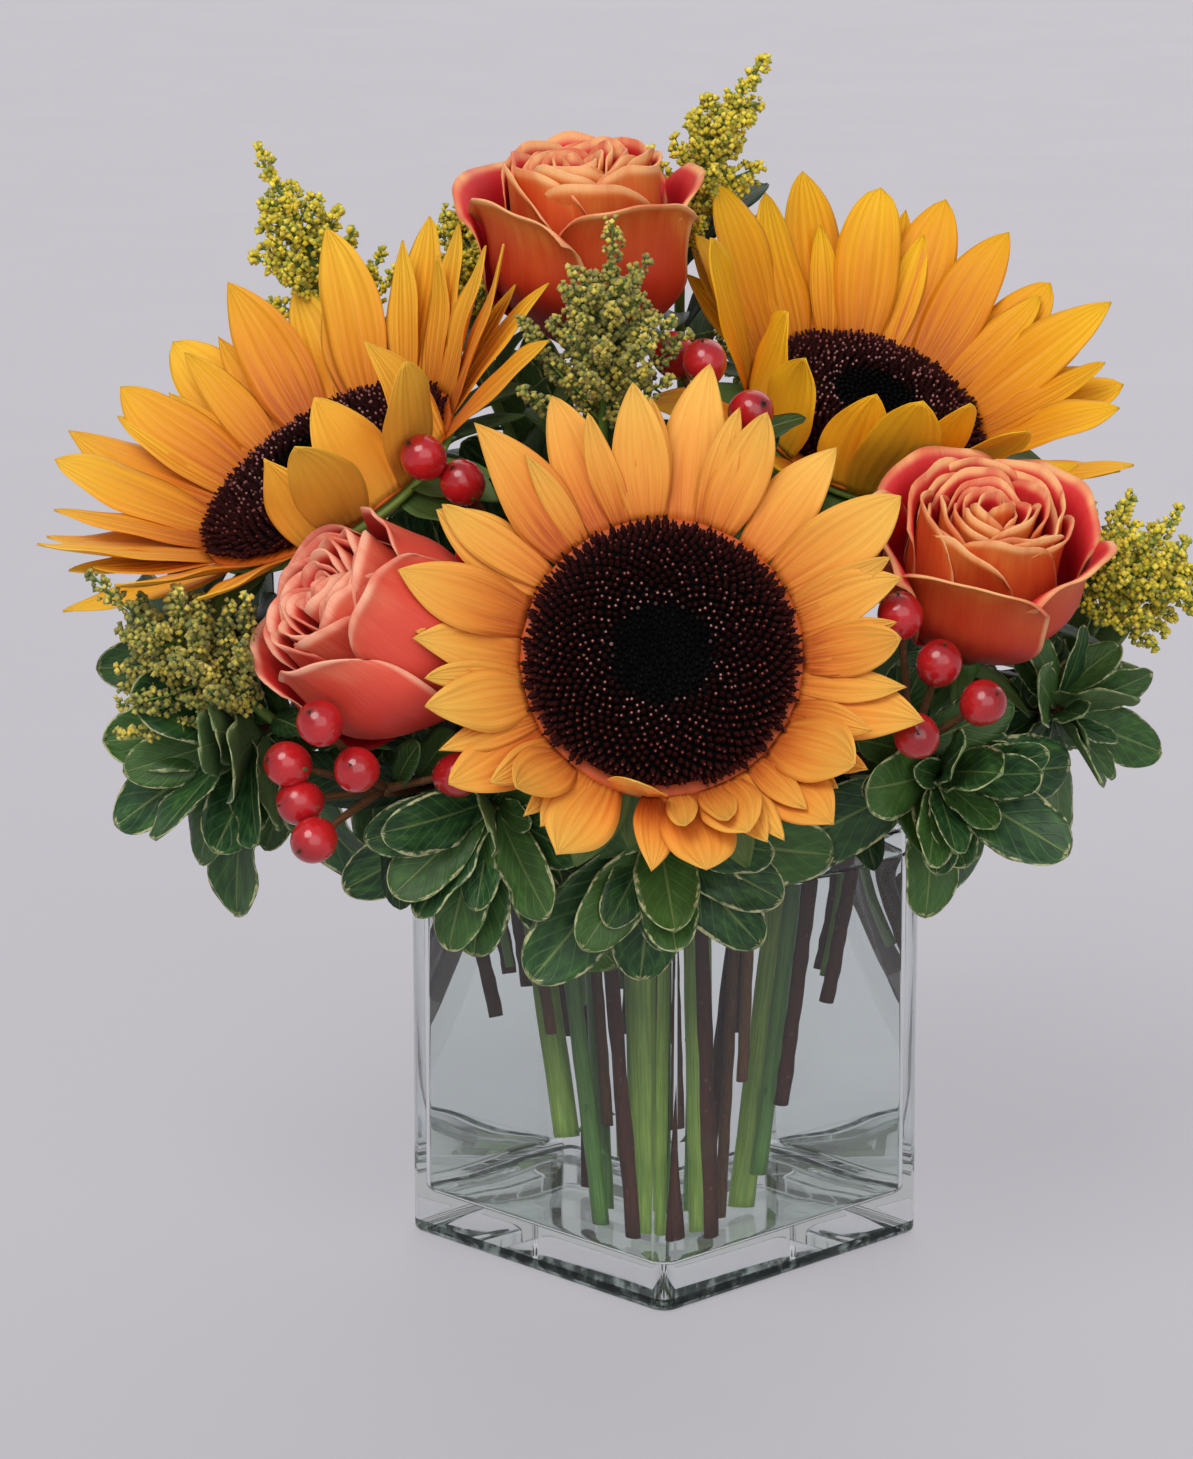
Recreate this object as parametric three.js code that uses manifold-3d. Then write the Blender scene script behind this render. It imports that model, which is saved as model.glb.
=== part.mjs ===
// Sunflowers, roses, hypericum berries, goldenrod and variegated pittosporum in a square glass vase.
// Millimetres, +Z up. The origin is the middle of the vase's flat foot. The front of the bouquet, and
// one corner of the vase, face -Y.
import * as THREE from "three";
import { mergeVertices } from "three/addons/utils/BufferGeometryUtils.js";
import Module from "manifold-3d";

const wasm = await Module();
wasm.setup();
const { Manifold, Mesh } = wasm;

// Driving dimensions
const VASE = { side: 101.6, height: 118, wall: 4.5, base: 12, corner: 4.4, foot: 1.6 };
const GAP = 0.4; // between pieces that rest against each other
const WATER_LEVEL = 110;
const STEM_SPREAD = 0.55; // the stems' places on the floor, as a share of their places at the mouth
const STEM_TWIST = 0.2; // how far the stems turn about the vase's axis on the way down, in radians
const STEM_MEET = [0, -16]; // the place on the floor that the stems lean to
const SHEET = 0.7; // thickness of petals and leaves
const DEGREE = Math.PI / 180;
const GOLDEN_ANGLE = 137.508 * DEGREE;
const GOLDEN_SHARE = 0.618034;
const VIEWER = new THREE.Vector3(0, -0.973, 0.232); // the way from the bouquet to the viewer

// Colours, with how rough each surface is
const LOOK = {
  glass: { color: 0xdfe8ea, roughness: 0.03, transparent: true, opacity: 0.35 },
  water: { color: 0xdde9ec, roughness: 0.02, transparent: true, opacity: 0.3 },
  sunflowerPetal: { color: 0xe8a21c, roughness: 0.55 },
  sunflowerDisc: { color: 0x2a120b, roughness: 0.85 },
  stem: { color: 0x5f7a34, roughness: 0.6 },
  rosePetal: { color: 0xe2745c, roughness: 0.5 },
  roseStem: { color: 0x3f5f2c, roughness: 0.6 },
  berry: { color: 0xb3202a, roughness: 0.25 },
  goldenrod: { color: 0xa9a331, roughness: 0.8 },
  pittosporum: { color: 0x35552a, roughness: 0.45 },
};

const vector = (x, y, z) => new THREE.Vector3(x, y, z);
const unit = (x, y, z) => vector(x, y, z).normalize();

// The plants. centre or base is where a bloom sits on its stem, aim the way it faces, mouth the place
// (x, y) where its stem passes the vase's rim, and neck how long its stem runs on straight below it. depth
// is how far down from the rim to the floor its stem reaches, as a share, where it is a short one. A
// sunflower's petals lean forward by lean, by nearLean more towards the viewer, and those between the
// two angles of folds, which are counted from the side nearest the viewer, fold up over the disc.
const SUNFLOWERS = [
  {
    name: "sunflower_front", centre: vector(-1, -88, 184), aim: unit(0, -0.92, 0.39), neck: 26,
    mouth: [0, -29], disc: 34, petals: 22, length: 38, wide: 0.44, lean: 40, nearLean: 20,
    folds: [-30, 10], seed: 11,
  },
  {
    name: "sunflower_left", centre: vector(-90, -18, 217), aim: unit(-0.49, -0.24, 0.84), neck: 36,
    mouth: [-31, -1], depth: 0.8, disc: 36, petals: 22, length: 46, wide: 0.4, lean: 40, nearLean: -12,
    folds: [-20, 50], seed: 23,
  },
  {
    name: "sunflower_right", centre: vector(54, 12, 228), aim: unit(0.27, -0.46, 0.85), neck: 40,
    mouth: [22, 9], disc: 31, petals: 22, length: 44, wide: 0.4, lean: 44, nearLean: -4,
    folds: [-70, 20], seed: 37,
  },
];
// open is 1 for a bloom whose outer petals are turned out, and less for one that is still closing in.
const ROSES = [
  {
    name: "rose_left", base: vector(-50, -67, 168), aim: unit(-0.72, -0.36, 0.6), mouth: [-24, -20],
    radius: 31, height: 62, open: 0.4, neck: 22, turn: 0.4,
  },
  {
    name: "rose_right", base: vector(79, -50, 177), aim: unit(0.12, -0.42, 0.9), mouth: [30, -9],
    depth: 0.9, radius: 29, height: 54, open: 1, neck: 24, turn: 1.9,
  },
  {
    name: "rose_top", base: vector(-21, 10, 246), aim: unit(-0.04, -0.14, 0.98), mouth: [-7, 12],
    radius: 30, height: 61, open: 1, neck: 50, turn: 3.1,
  },
];
const HYPERICUM = [
  {
    name: "hypericum_middle", head: vector(12, -33, 232), aim: unit(0.1, -0.3, 0.95), mouth: [10, -9],
    berries: [vector(10, -40, 253), vector(22, -46, 241), vector(2, -28, 253)],
  },
  {
    name: "hypericum_left", head: vector(-46, -52, 212), aim: unit(-0.3, -0.3, 0.9), mouth: [-12, -12],
    depth: 0.75, berries: [vector(-63, -64, 232), vector(-53, -62, 225), vector(-49, -66, 206)],
  },
  {
    name: "hypericum_front_left", head: vector(-74, -82, 148), aim: unit(-0.6, -0.6, 0.3),
    mouth: [-36, -20], depth: 0.5,
    berries: [
      vector(-88, -107, 171), vector(-97, -97, 158), vector(-79, -103, 158), vector(-94, -97, 148),
      vector(-90, -105, 140), vector(-54, -92, 154),
    ],
  },
  {
    name: "hypericum_front_right", head: vector(64, -78, 158), aim: unit(0.4, -0.8, 0.3),
    mouth: [20, -36], depth: 0.6,
    berries: [
      vector(60, -91, 196), vector(70, -93, 184), vector(81, -99, 175), vector(64, -106, 168),
    ],
  },
];
const GOLDENROD = [
  {
    name: "goldenrod_top", head: vector(4, 34, 270), aim: unit(0.1, -0.06, 1), bow: [0.5, -0.1, 0],
    length: 46, width: 20, mouth: [8, 28], depth: 0.45, seed: 41,
  },
  {
    name: "goldenrod_left_top", head: vector(-92, 46, 244), aim: unit(-0.15, 0, 1), bow: [-0.4, 0, 0],
    length: 42, width: 22, mouth: [-20, 18], depth: 0.4, seed: 42,
  },
  {
    name: "goldenrod_back_left", head: vector(-54, 42, 250), aim: unit(-0.05, 0, 1), bow: [0.1, 0, 0],
    length: 32, width: 18, mouth: [-8, 29], depth: 0.5, seed: 43,
  },
  {
    name: "goldenrod_middle", head: vector(-17, -38, 232), aim: unit(0.05, -0.15, 1), bow: [0, 0, 0],
    length: 42, width: 30, mouth: [-2, -2], depth: 0.85, seed: 44,
  },
  {
    name: "goldenrod_left", head: vector(-106, -64, 164), aim: unit(-0.72, -0.2, 0.65), bow: [-0.1, 0, 0.1],
    length: 36, width: 31, mouth: [-46, -8], depth: 0.35, seed: 45,
  },
  {
    name: "goldenrod_right", head: vector(104, -16, 188), aim: unit(0.9, -0.1, 0.3), bow: [0.2, 0, -0.4],
    length: 34, width: 27, mouth: [45, 5], depth: 0.4, seed: 46,
  },
  {
    name: "goldenrod_back", head: vector(34, 72, 216), aim: unit(0.2, 0.5, 0.85), bow: [0.1, 0.3, 0],
    length: 44, width: 26, mouth: [16, 42], depth: 0.45, seed: 47,
  },
];
// fan is how far round its stem a whorl reaches, in degrees, with the middle of the fan hanging down.
const PITTOSPORUM = [
  {
    name: "pittosporum_front_left", head: vector(-46, -76, 142), aim: unit(-0.45, -0.85, -0.1),
    mouth: [-14, -44], leaves: 9, length: 50, fan: 240, seed: 61,
  },
  {
    name: "pittosporum_front", head: vector(-2, -84, 136), aim: unit(0, -1, -0.2),
    mouth: [6, -50], leaves: 10, length: 46, fan: 220, seed: 62,
  },
  {
    name: "pittosporum_left", head: vector(-112, -56, 156), aim: unit(-0.7, -0.6, 0),
    mouth: [-54, 3], depth: 0.5, leaves: 10, length: 52, fan: 250, seed: 63,
  },
  {
    name: "pittosporum_front_right", head: vector(72, -72, 149), aim: unit(0.45, -0.85, 0),
    mouth: [38, -20], depth: 0.7, leaves: 9, length: 44, fan: 240, seed: 64,
  },
  {
    name: "pittosporum_right", head: vector(106, -36, 158), aim: unit(0.85, -0.5, 0.1),
    mouth: [50, -8], depth: 0.45, leaves: 9, length: 40, fan: 280, seed: 65,
  },
  {
    name: "pittosporum_far_left", head: vector(-120, -14, 168), aim: unit(-0.85, -0.3, 0.35),
    mouth: [-42, 12], depth: 0.4, leaves: 7, length: 42, fan: 360, seed: 66,
  },
  {
    name: "pittosporum_back_left", head: vector(-76, 58, 168), aim: unit(-0.7, 0.65, 0.3),
    mouth: [-32, 24], depth: 0.45, leaves: 8, length: 46, fan: 320, seed: 68,
  },
  {
    name: "pittosporum_back", head: vector(-4, 88, 166), aim: unit(0, 0.9, 0.3),
    mouth: [0, 52], leaves: 8, length: 46, fan: 320, seed: 69,
  },
  {
    name: "pittosporum_back_right", head: vector(74, 60, 168), aim: unit(0.65, 0.65, 0.3),
    mouth: [26, 32], depth: 0.5, leaves: 8, length: 46, fan: 320, seed: 70,
  },
  {
    name: "pittosporum_high_left", head: vector(-30, 58, 196), aim: unit(-0.2, 0.55, 0.8),
    mouth: [-12, 42], depth: 0.6, leaves: 8, length: 42, fan: 360, seed: 72,
  },
  {
    name: "pittosporum_high_right", head: vector(24, 50, 196), aim: unit(0.2, 0.45, 0.85),
    mouth: [9, 16], depth: 0.55, leaves: 8, length: 44, fan: 360, seed: 73,
  },
  {
    name: "pittosporum_far_right", head: vector(108, 20, 158), aim: unit(0.95, 0.25, 0.2),
    mouth: [42, 16], depth: 0.4, leaves: 7, length: 42, fan: 320, seed: 71,
  },
];

// Shapes

// A seeded row of draws from 0 to 1, the same on every run.
function draws(seed) {
  let state = seed * 7919;
  return () => {
    state = (state * 16807) % 2147483647;
    return state / 2147483647;
  };
}

// A closed three.js geometry as a solid. Faces that have shrunk to a line, as at a pointed tip, are
// dropped.
function solidOf(geometry) {
  const bare = new THREE.BufferGeometry().setAttribute("position", geometry.getAttribute("position"));
  bare.setIndex(geometry.index);
  const merged = mergeVertices(bare, 1e-4);
  const faces = [];
  for (let i = 0; i < merged.index.count; i += 3) {
    const [a, b, c] = merged.index.array.subarray(i, i + 3);
    if (a !== b && b !== c && c !== a) faces.push(a, b, c);
  }
  const made = (triVerts) =>
    new Manifold(new Mesh({ numProp: 3, vertProperties: merged.attributes.position.array, triVerts }));
  const solid = made(new Uint32Array(faces));
  return solid.volume() > 0 ? solid : made(new Uint32Array(faces).reverse());
}

// Joins pieces that run into each other. A scrap that holds on to nothing is dropped, and a hollow
// that the joining seals is filled.
function fused(pieces) {
  const shells = Manifold.union(pieces).decompose();
  return shells.reduce((largest, shell) => (shell.volume() > largest.volume() ? shell : largest));
}

// A solid as a named mesh.
function meshOf(name, solid, look) {
  const { vertProperties, triVerts } = solid.getMesh();
  const geometry = new THREE.BufferGeometry();
  geometry.setAttribute("position", new THREE.BufferAttribute(vertProperties, 3));
  geometry.setIndex(new THREE.BufferAttribute(triVerts, 1));
  geometry.computeVertexNormals();
  const mesh = new THREE.Mesh(geometry, new THREE.MeshStandardMaterial({ metalness: 0, ...look }));
  mesh.name = name;
  return mesh;
}

// Three square axes with z along aim, and x level where it can be.
function axesAlong(aim, turn = 0) {
  const level = Math.abs(aim.z) > 0.999 ? vector(1, 0, 0) : vector(0, 0, 1).cross(aim).normalize();
  const x = level.applyAxisAngle(aim, turn);
  return new THREE.Matrix4().makeBasis(x, aim.clone().cross(x), aim);
}

// A geometry moved from its own axes, with z along aim, to a place.
function placed(geometry, place, aim, turn = 0) {
  geometry.applyMatrix4(axesAlong(aim, turn).setPosition(place));
  return geometry;
}

// A profile of [radius, height] pairs turned round the Z axis, with the middle of a flat side on +X.
function turned(profile, sides) {
  const points = profile.map(([r, z]) => new THREE.Vector2(r, z));
  return new THREE.LatheGeometry(points, sides, Math.PI / 2 + Math.PI / sides).rotateX(Math.PI / 2);
}

// A straight round rod that can taper.
function rod(from, to, radiusFrom, radiusTo, sides) {
  const span = to.clone().sub(from);
  const geometry = new THREE.CylinderGeometry(radiusTo, radiusFrom, span.length(), sides);
  geometry.rotateX(Math.PI / 2).translate(0, 0, span.length() / 2);
  return solidOf(placed(geometry, from, span.normalize()));
}

// A sheet that follows surface(u, v), with u across from -1 to 1 and v along from 0 to 1, and half its
// thickness on either side. Both faces are split into triangles alike.
function blade(surface, rows, columns, thickness) {
  const step = 1e-3;
  const corners = [];
  for (const side of [1, -1])
    for (let i = 0; i <= rows; i++)
      for (let j = 0; j <= columns; j++) {
        const u = -1 + (2 * j) / columns;
        const v = i / rows;
        const inside = Math.min(Math.max(v, 0.02), 0.98);
        const across = surface(u + step, inside).sub(surface(u - step, inside));
        const along = surface(u, Math.min(v + step, 1)).sub(surface(u, Math.max(v - step, 0)));
        const out = across.cross(along).normalize().multiplyScalar((side * thickness) / 2);
        corners.push(...surface(u, v).add(out).toArray());
      }
  const faces = [];
  const count = (rows + 1) * (columns + 1);
  const top = (i, j) => i * (columns + 1) + j;
  const under = (i, j) => count + top(i, j);
  const quad = (a, b, c, d) => faces.push(a, b, c, a, c, d);
  for (let i = 0; i < rows; i++) {
    for (let j = 0; j < columns; j++) {
      quad(top(i, j), top(i, j + 1), top(i + 1, j + 1), top(i + 1, j));
      faces.push(under(i, j), under(i + 1, j + 1), under(i, j + 1));
      faces.push(under(i, j), under(i + 1, j), under(i + 1, j + 1));
    }
    quad(top(i, 0), top(i + 1, 0), under(i + 1, 0), under(i, 0));
    quad(top(i + 1, columns), top(i, columns), under(i, columns), under(i + 1, columns));
  }
  for (let j = 0; j < columns; j++) {
    quad(top(0, j + 1), top(0, j), under(0, j), under(0, j + 1));
    quad(top(rows, j), top(rows, j + 1), under(rows, j + 1), under(rows, j));
  }
  const geometry = new THREE.BufferGeometry();
  geometry.setAttribute("position", new THREE.Float32BufferAttribute(corners, 3));
  geometry.setIndex(faces);
  return solidOf(geometry);
}

// Half-widths along a leaf or petal, as shares of the widest
const arch = (share) => Math.max(0, Math.sin(Math.PI * share)) ** 0.8;
const rayOutline = (v) => (v > 0.999 ? 0 : arch(0.08 + 0.92 * v));
const leafOutline = (v) => arch(0.92 * v ** 1.3);
const bractOutline = (v) => (v > 0.999 ? 0 : arch(0.3 + 0.7 * v));

// The middle surface of a leaf or petal that leaves base along one way, with its upper face to another,
// and bends evenly by an angle towards that face.
function leafSurface({ base, along, up, length, width, bend, outline }) {
  const across = along.clone().cross(up).normalize();
  const face = across.clone().cross(along).normalize();
  const turn = Math.abs(bend) < 1e-3 ? 1e-3 : bend;
  return (u, v) =>
    base
      .clone()
      .addScaledVector(along, (length * Math.sin(turn * v)) / turn)
      .addScaledVector(face, (length * (1 - Math.cos(turn * v))) / turn)
      .addScaledVector(across, (u * width * outline(v)) / 2);
}

// The forms of a leaf that springs from base away from an axis: at an angle above radial that each of
// turns adds to, and at each of shares of its size.
function leafForms({ base, radial, aim, tilt, length, width, bend, outline, shares, turns, rows }) {
  const forms = [];
  for (const share of shares)
    for (const turn of turns)
      forms.push(() => {
        const angle = (tilt + turn) * DEGREE;
        const along = radial.clone().multiplyScalar(Math.cos(angle)).addScaledVector(aim, Math.sin(angle));
        const up = aim.clone().multiplyScalar(Math.cos(angle)).addScaledVector(radial, -Math.sin(angle));
        const form = { base, along, up, length: length * share, width: width * share, bend, outline };
        return blade(leafSurface(form), rows, 1, SHEET);
      });
  return forms;
}

// Nodes, each with its pieces before they are fused
const nodes = [];
function newNode(name, look) {
  const node = { name, look, pieces: [] };
  nodes.push(node);
  return node;
}

function boxesMeet(a, b, margin) {
  const p = a.boundingBox();
  const q = b.boundingBox();
  return [0, 1, 2].every((k) => p.min[k] - margin < q.max[k] && q.min[k] - margin < p.max[k]);
}

// True where a solid keeps the gap, or nearly, from every piece of every other node.
function isClear(solid, node) {
  const least = 0.95 * GAP;
  return nodes.every(
    (other) =>
      other === node ||
      other.pieces.every((piece) => !boxesMeet(solid, piece, GAP) || solid.minGap(piece, GAP) >= least),
  );
}

// Adds the first of several forms of a piece that keeps clear of the other nodes, or none.
function addFirstClear(node, forms) {
  for (const form of forms) {
    const solid = form();
    if (isClear(solid, node)) {
      node.pieces.push(solid);
      return;
    }
  }
}

// Vase and water

function roundedSquare(side, radius) {
  const half = side / 2;
  const inner = half - radius;
  const shape = new THREE.Shape();
  shape.absarc(inner, inner, radius, 0, Math.PI / 2);
  shape.absarc(-inner, inner, radius, Math.PI / 2, Math.PI);
  shape.absarc(-inner, -inner, radius, Math.PI, 1.5 * Math.PI);
  shape.absarc(inner, -inner, radius, 1.5 * Math.PI, 2 * Math.PI);
  return shape;
}

// An upright block of rounded square section, its corners on the X and Y axes.
function squareBlock(side, radius, low, high, bevel) {
  const geometry = new THREE.ExtrudeGeometry(roundedSquare(side - 2 * bevel, radius), {
    depth: high - low - 2 * bevel,
    curveSegments: 2,
    bevelEnabled: bevel > 0,
    bevelThickness: bevel,
    bevelSize: bevel,
    bevelSegments: 1,
  });
  geometry.translate(0, 0, low + bevel).rotateZ(Math.PI / 4);
  return solidOf(geometry);
}

const innerSide = VASE.side - 2 * VASE.wall;
const innerCorner = 3;

function buildVase() {
  const outside = squareBlock(VASE.side, VASE.corner - VASE.foot / 2, 0, VASE.height, VASE.foot);
  const inside = squareBlock(innerSide, innerCorner, VASE.base, VASE.height + 10, 0);
  newNode("vase", LOOK.glass).pieces.push(outside.subtract(inside));
}

function buildWater(holes) {
  const water = squareBlock(innerSide - 2 * GAP, innerCorner - GAP, VASE.base + GAP, WATER_LEVEL, 0);
  newNode("water", LOOK.water).pieces.push(water.subtract(Manifold.union(holes)));
}

// Stems

// Where a stem that passes the rim at mouth would stand on the floor.
function floorPlaceOf([x, y]) {
  const place = new THREE.Vector2(x, y).multiplyScalar(STEM_SPREAD);
  place.rotateAround(new THREE.Vector2(), STEM_TWIST);
  return vector(place.x + STEM_MEET[0], place.y + STEM_MEET[1], VASE.base + 2);
}

// A stem's line: straight from its foot to the rim, then one curve to the head that arrives along aim.
class StemCurve extends THREE.Curve {
  constructor({ mouth, head, aim, neck, depth, steps }) {
    super();
    const rim = vector(mouth[0], mouth[1], VASE.height);
    const rise = rim.clone().sub(floorPlaceOf(mouth)).normalize();
    const reach = rim.distanceTo(head);
    this.foot = rim.clone().lerp(floorPlaceOf(mouth), depth);
    this.share = 1 / steps;
    this.upper = new THREE.CubicBezierCurve3(
      rim, rim.clone().addScaledVector(rise, 0.4 * reach), head.clone().addScaledVector(aim, -neck), head,
    );
  }
  getPoint(t) {
    if (t < this.share) return this.foot.clone().lerp(this.upper.v0, t / this.share);
    return this.upper.getPoint((t - this.share) / (1 - this.share));
  }
  getPointAt(t) {
    return this.getPoint(t);
  }
  getTangentAt(t) {
    return this.getTangent(t);
  }
}

const waterHoles = [];

// Adds a stem to its node, and its hole to the water.
function addStem(node, { mouth, head, aim, neck, radius, depth = 1, steps = 6, sides = 6 }) {
  const curve = new StemCurve({ mouth, head, aim, neck, depth, steps });
  const section = [];
  for (let i = 0; i < sides; i++) {
    const angle = (2 * Math.PI * i) / sides;
    section.push(new THREE.Vector2(radius * Math.cos(angle), radius * Math.sin(angle)));
  }
  const geometry = new THREE.ExtrudeGeometry(new THREE.Shape(section), {
    steps, extrudePath: curve, bevelEnabled: false,
  });
  node.pieces.push(solidOf(geometry));
  const foot = curve.getPoint(0);
  const rim = curve.getPoint(curve.share);
  const slope = rim.clone().sub(foot).normalize();
  const low = foot.clone().addScaledVector(slope, depth < 1 ? -GAP : -4 * radius);
  const holeSides = 5;
  const wide = (radius + GAP) / Math.cos(Math.PI / holeSides);
  waterHoles.push(rod(low, rim, wide, wide, holeSides));
  return curve;
}

// Sunflowers

const FOLDED = 88; // how far a folded petal stands up, in degrees
const RING = { low: GAP, high: GAP + 2.2, width: 3 }; // the petals' ring, above the receptacle's rim

function buildSunflowerStem(flower) {
  const { name, centre, aim, mouth, depth, disc, neck } = flower;
  const node = newNode(`${name}_stem`, LOOK.stem);
  const height = 13;
  const radius = 4.4;
  const rim = disc + RING.width - 1;
  const profile = [[0, 0], [rim, 0], [rim, -2], [disc * 0.7, -8], [radius, -height], [0, -height]];
  node.pieces.push(solidOf(placed(turned(profile, 12), centre, aim)));
  const head = centre.clone().addScaledVector(aim, 2 - height);
  addStem(node, { mouth, head, aim, neck, radius, depth });
}

// The disc: a low dome with a sunken middle, its florets raised in rings, on a boss through the ring.
function buildSunflowerDisc({ name, centre, aim, disc }) {
  const low = RING.high + GAP;
  const boss = disc * 0.7;
  const crown = 5.5;
  const rings = 5;
  const sectors = 18;
  const raised = 1.2;
  const dome = (share) => low + 2 + crown * (1 - share ** 4) - 3 * Math.exp(-((share / 0.35) ** 2));
  const profile = [[0, GAP], [boss, GAP], [boss, low], [disc, low]];
  for (let ring = rings; ring >= 0; ring--) profile.push([(disc * ring) / rings, dome(ring / rings)]);
  const geometry = turned(profile, sectors);
  const place = geometry.getAttribute("position");
  for (let i = 0; i < place.count; i++) {
    const row = i % profile.length;
    const sector = Math.floor(i / profile.length) % sectors;
    const ring = profile.length - 1 - row;
    const isFloret = row > 4 && ring > 0 && (ring + sector) % 2 === 0;
    if (isFloret) place.setZ(i, place.getZ(i) + raised);
  }
  newNode(`${name}_disc`, LOOK.sunflowerDisc).pieces.push(solidOf(placed(geometry, centre, aim)));
}

// The ring of petals, in two layers, with those on the side nearest the viewer standing up more.
function buildSunflowerPetals(flower) {
  const { name, centre, aim, disc, petals, length, wide, lean, nearLean, folds, seed } = flower;
  const node = newNode(`${name}_petals`, LOOK.sunflowerPetal);
  const inner = disc * 0.75;
  const outer = disc + RING.width;
  const middle = (RING.low + RING.high) / 2;
  const profile = [[inner, middle], [outer, RING.low], [outer, RING.high], [inner, middle]];
  node.pieces.push(solidOf(placed(turned(profile, petals), centre, aim)));
  const axes = axesAlong(aim);
  const near = VIEWER.clone().applyMatrix4(axes.clone().transpose());
  const nearest = Math.atan2(near.y, near.x);
  const draw = draws(seed);
  for (let i = 0; i < petals; i++) {
    const isFront = i % 2 === 0;
    const azimuth = (2 * Math.PI * (i + 0.3 * (draw() - 0.5))) / petals;
    const fullSize = length * (0.88 + 0.24 * draw());
    const width = fullSize * (wide - 0.03 + 0.06 * draw());
    const fromNearest = (azimuth - nearest) / DEGREE;
    const off = fromNearest - 360 * Math.round(fromNearest / 360);
    const isFolded = isFront && off > folds[0] && off < folds[1];
    const open = lean - (isFront ? 0 : 12) + nearLean * Math.cos(azimuth - nearest);
    const tilt = (isFolded ? FOLDED : open) + 6 * (draw() - 0.5);
    const size = isFolded ? 0.7 * fullSize : fullSize;
    const bend = 8 * DEGREE * (draw() - 0.5);
    const radial = unit(Math.cos(azimuth), Math.sin(azimuth), 0).applyMatrix4(axes);
    const root = RING.low + (isFront ? 1.2 : 0.8);
    const base = centre.clone().addScaledVector(aim, root).addScaledVector(radial, outer - 0.9);
    const forms = leafForms({
      base, radial, aim, tilt, length: size, width, bend, outline: rayOutline,
      shares: [1, 0.85, 0.7, 0.55], turns: [0, 12, -12, 24, -24, 38, -38], rows: 3,
    });
    addFirstClear(node, forms);
  }
}

// Roses

const CUP = 5; // how deep and how wide the petals of a rose are joined at their bases

// One petal of a rose: part of a cup that opens from the base, with its free edge turned out by roll.
function rosePetal(axes, { azimuth, spread, radius, height, roll, close }) {
  return (u, v) => {
    const opening = Math.sin((Math.PI / 2) * Math.min(1, v / 0.55));
    const angle = azimuth + u * spread * (0.25 + 0.75 * opening);
    const turned = Math.max(0, (v - 0.6) / 0.4);
    const r = 2 + (radius - 2) * opening + roll * turned ** 2 - close * turned + 1.6 * u * opening;
    const z = 1 + (height - 1) * (v - 0.1 * u * u * v) - 0.45 * roll * turned ** 3;
    return vector(r * Math.cos(angle), r * Math.sin(angle), z).applyMatrix4(axes);
  };
}

function buildRose({ name, base, aim, mouth, depth, radius, height, open, neck, turn }) {
  const green = newNode(`${name}_stem`, LOOK.roseStem);
  const hip = 8;
  const calyx = [[0, -hip], [2.6, -hip], [4.8, -hip / 2], [4.4, -GAP], [0, -GAP]];
  green.pieces.push(solidOf(placed(turned(calyx, 8), base, aim)));
  const head = base.clone().addScaledVector(aim, -hip + 1);
  addStem(green, { mouth, head, aim, neck, radius: 2.8, depth, steps: 5 });

  const bloom = newNode(`${name}_bloom`, LOOK.rosePetal);
  const axes = axesAlong(aim).setPosition(base);
  const core = [
    [0, 0], [CUP, 0], [radius * 0.28, CUP],
    [radius * 0.46, height * 0.5], [radius * 0.4, height * 0.86], [0, height * 0.92],
  ];
  bloom.pieces.push(solidOf(turned(core, 7).applyMatrix4(axes)));
  const shut = 1 - open;
  const layers = [
    { count: 4, radius: 0.68, height: 0.95, spread: 52, roll: 0, close: 0.06 + 0.2 * shut },
    { count: 5, radius: 0.9, height: 0.88 + 0.08 * shut, spread: 43, roll: 0.16 * open, close: 0.3 * shut },
  ];
  for (const layer of layers)
    for (let i = 0; i < layer.count; i++) {
      const azimuth = turn + 4 * layer.radius + (2 * Math.PI * i) / layer.count;
      const surface = rosePetal(axes, {
        azimuth,
        spread: layer.spread * DEGREE,
        radius: radius * layer.radius,
        height: height * layer.height,
        roll: radius * layer.roll,
        close: radius * layer.close,
      });
      bloom.pieces.push(blade(surface, 3, 3, SHEET));
    }
}

function addSepals({ name, base, aim, turn }) {
  const green = nodes.find((node) => node.name === `${name}_stem`);
  const axes = axesAlong(aim);
  const sepals = 5;
  for (let i = 0; i < sepals; i++) {
    const azimuth = turn + (2 * Math.PI * i) / sepals;
    const radial = unit(Math.cos(azimuth), Math.sin(azimuth), 0).applyMatrix4(axes);
    const root = base.clone().addScaledVector(aim, -3.5).addScaledVector(radial, 3);
    const forms = leafForms({
      base: root, radial, aim, tilt: -15, length: 20, width: 6, bend: -0.5, outline: bractOutline,
      shares: [1, 0.8], turns: [0, -20, -40, -60], rows: 1,
    });
    addFirstClear(green, forms);
  }
}

// Green bracts behind a sunflower's petals
function addBracts({ name, centre, aim, disc }) {
  const green = nodes.find((node) => node.name === `${name}_stem`);
  const axes = axesAlong(aim);
  const bracts = 8;
  for (let i = 0; i < bracts; i++) {
    const azimuth = (2 * Math.PI * (i + 0.5)) / bracts;
    const radial = unit(Math.cos(azimuth), Math.sin(azimuth), 0).applyMatrix4(axes);
    const base = centre.clone().addScaledVector(aim, -1.6).addScaledVector(radial, disc + RING.width - 3);
    const forms = leafForms({
      base, radial, aim, tilt: 0, length: 24, width: 15, bend: -0.3, outline: bractOutline,
      shares: [1, 0.8], turns: [0, -18, -36, -54], rows: 2,
    });
    addFirstClear(green, forms);
  }
}

// Hypericum: berries on short stalks that part from the tip of the stem

const BERRY = { radius: 5.9, long: 6.6, stalk: 1.1 };

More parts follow.
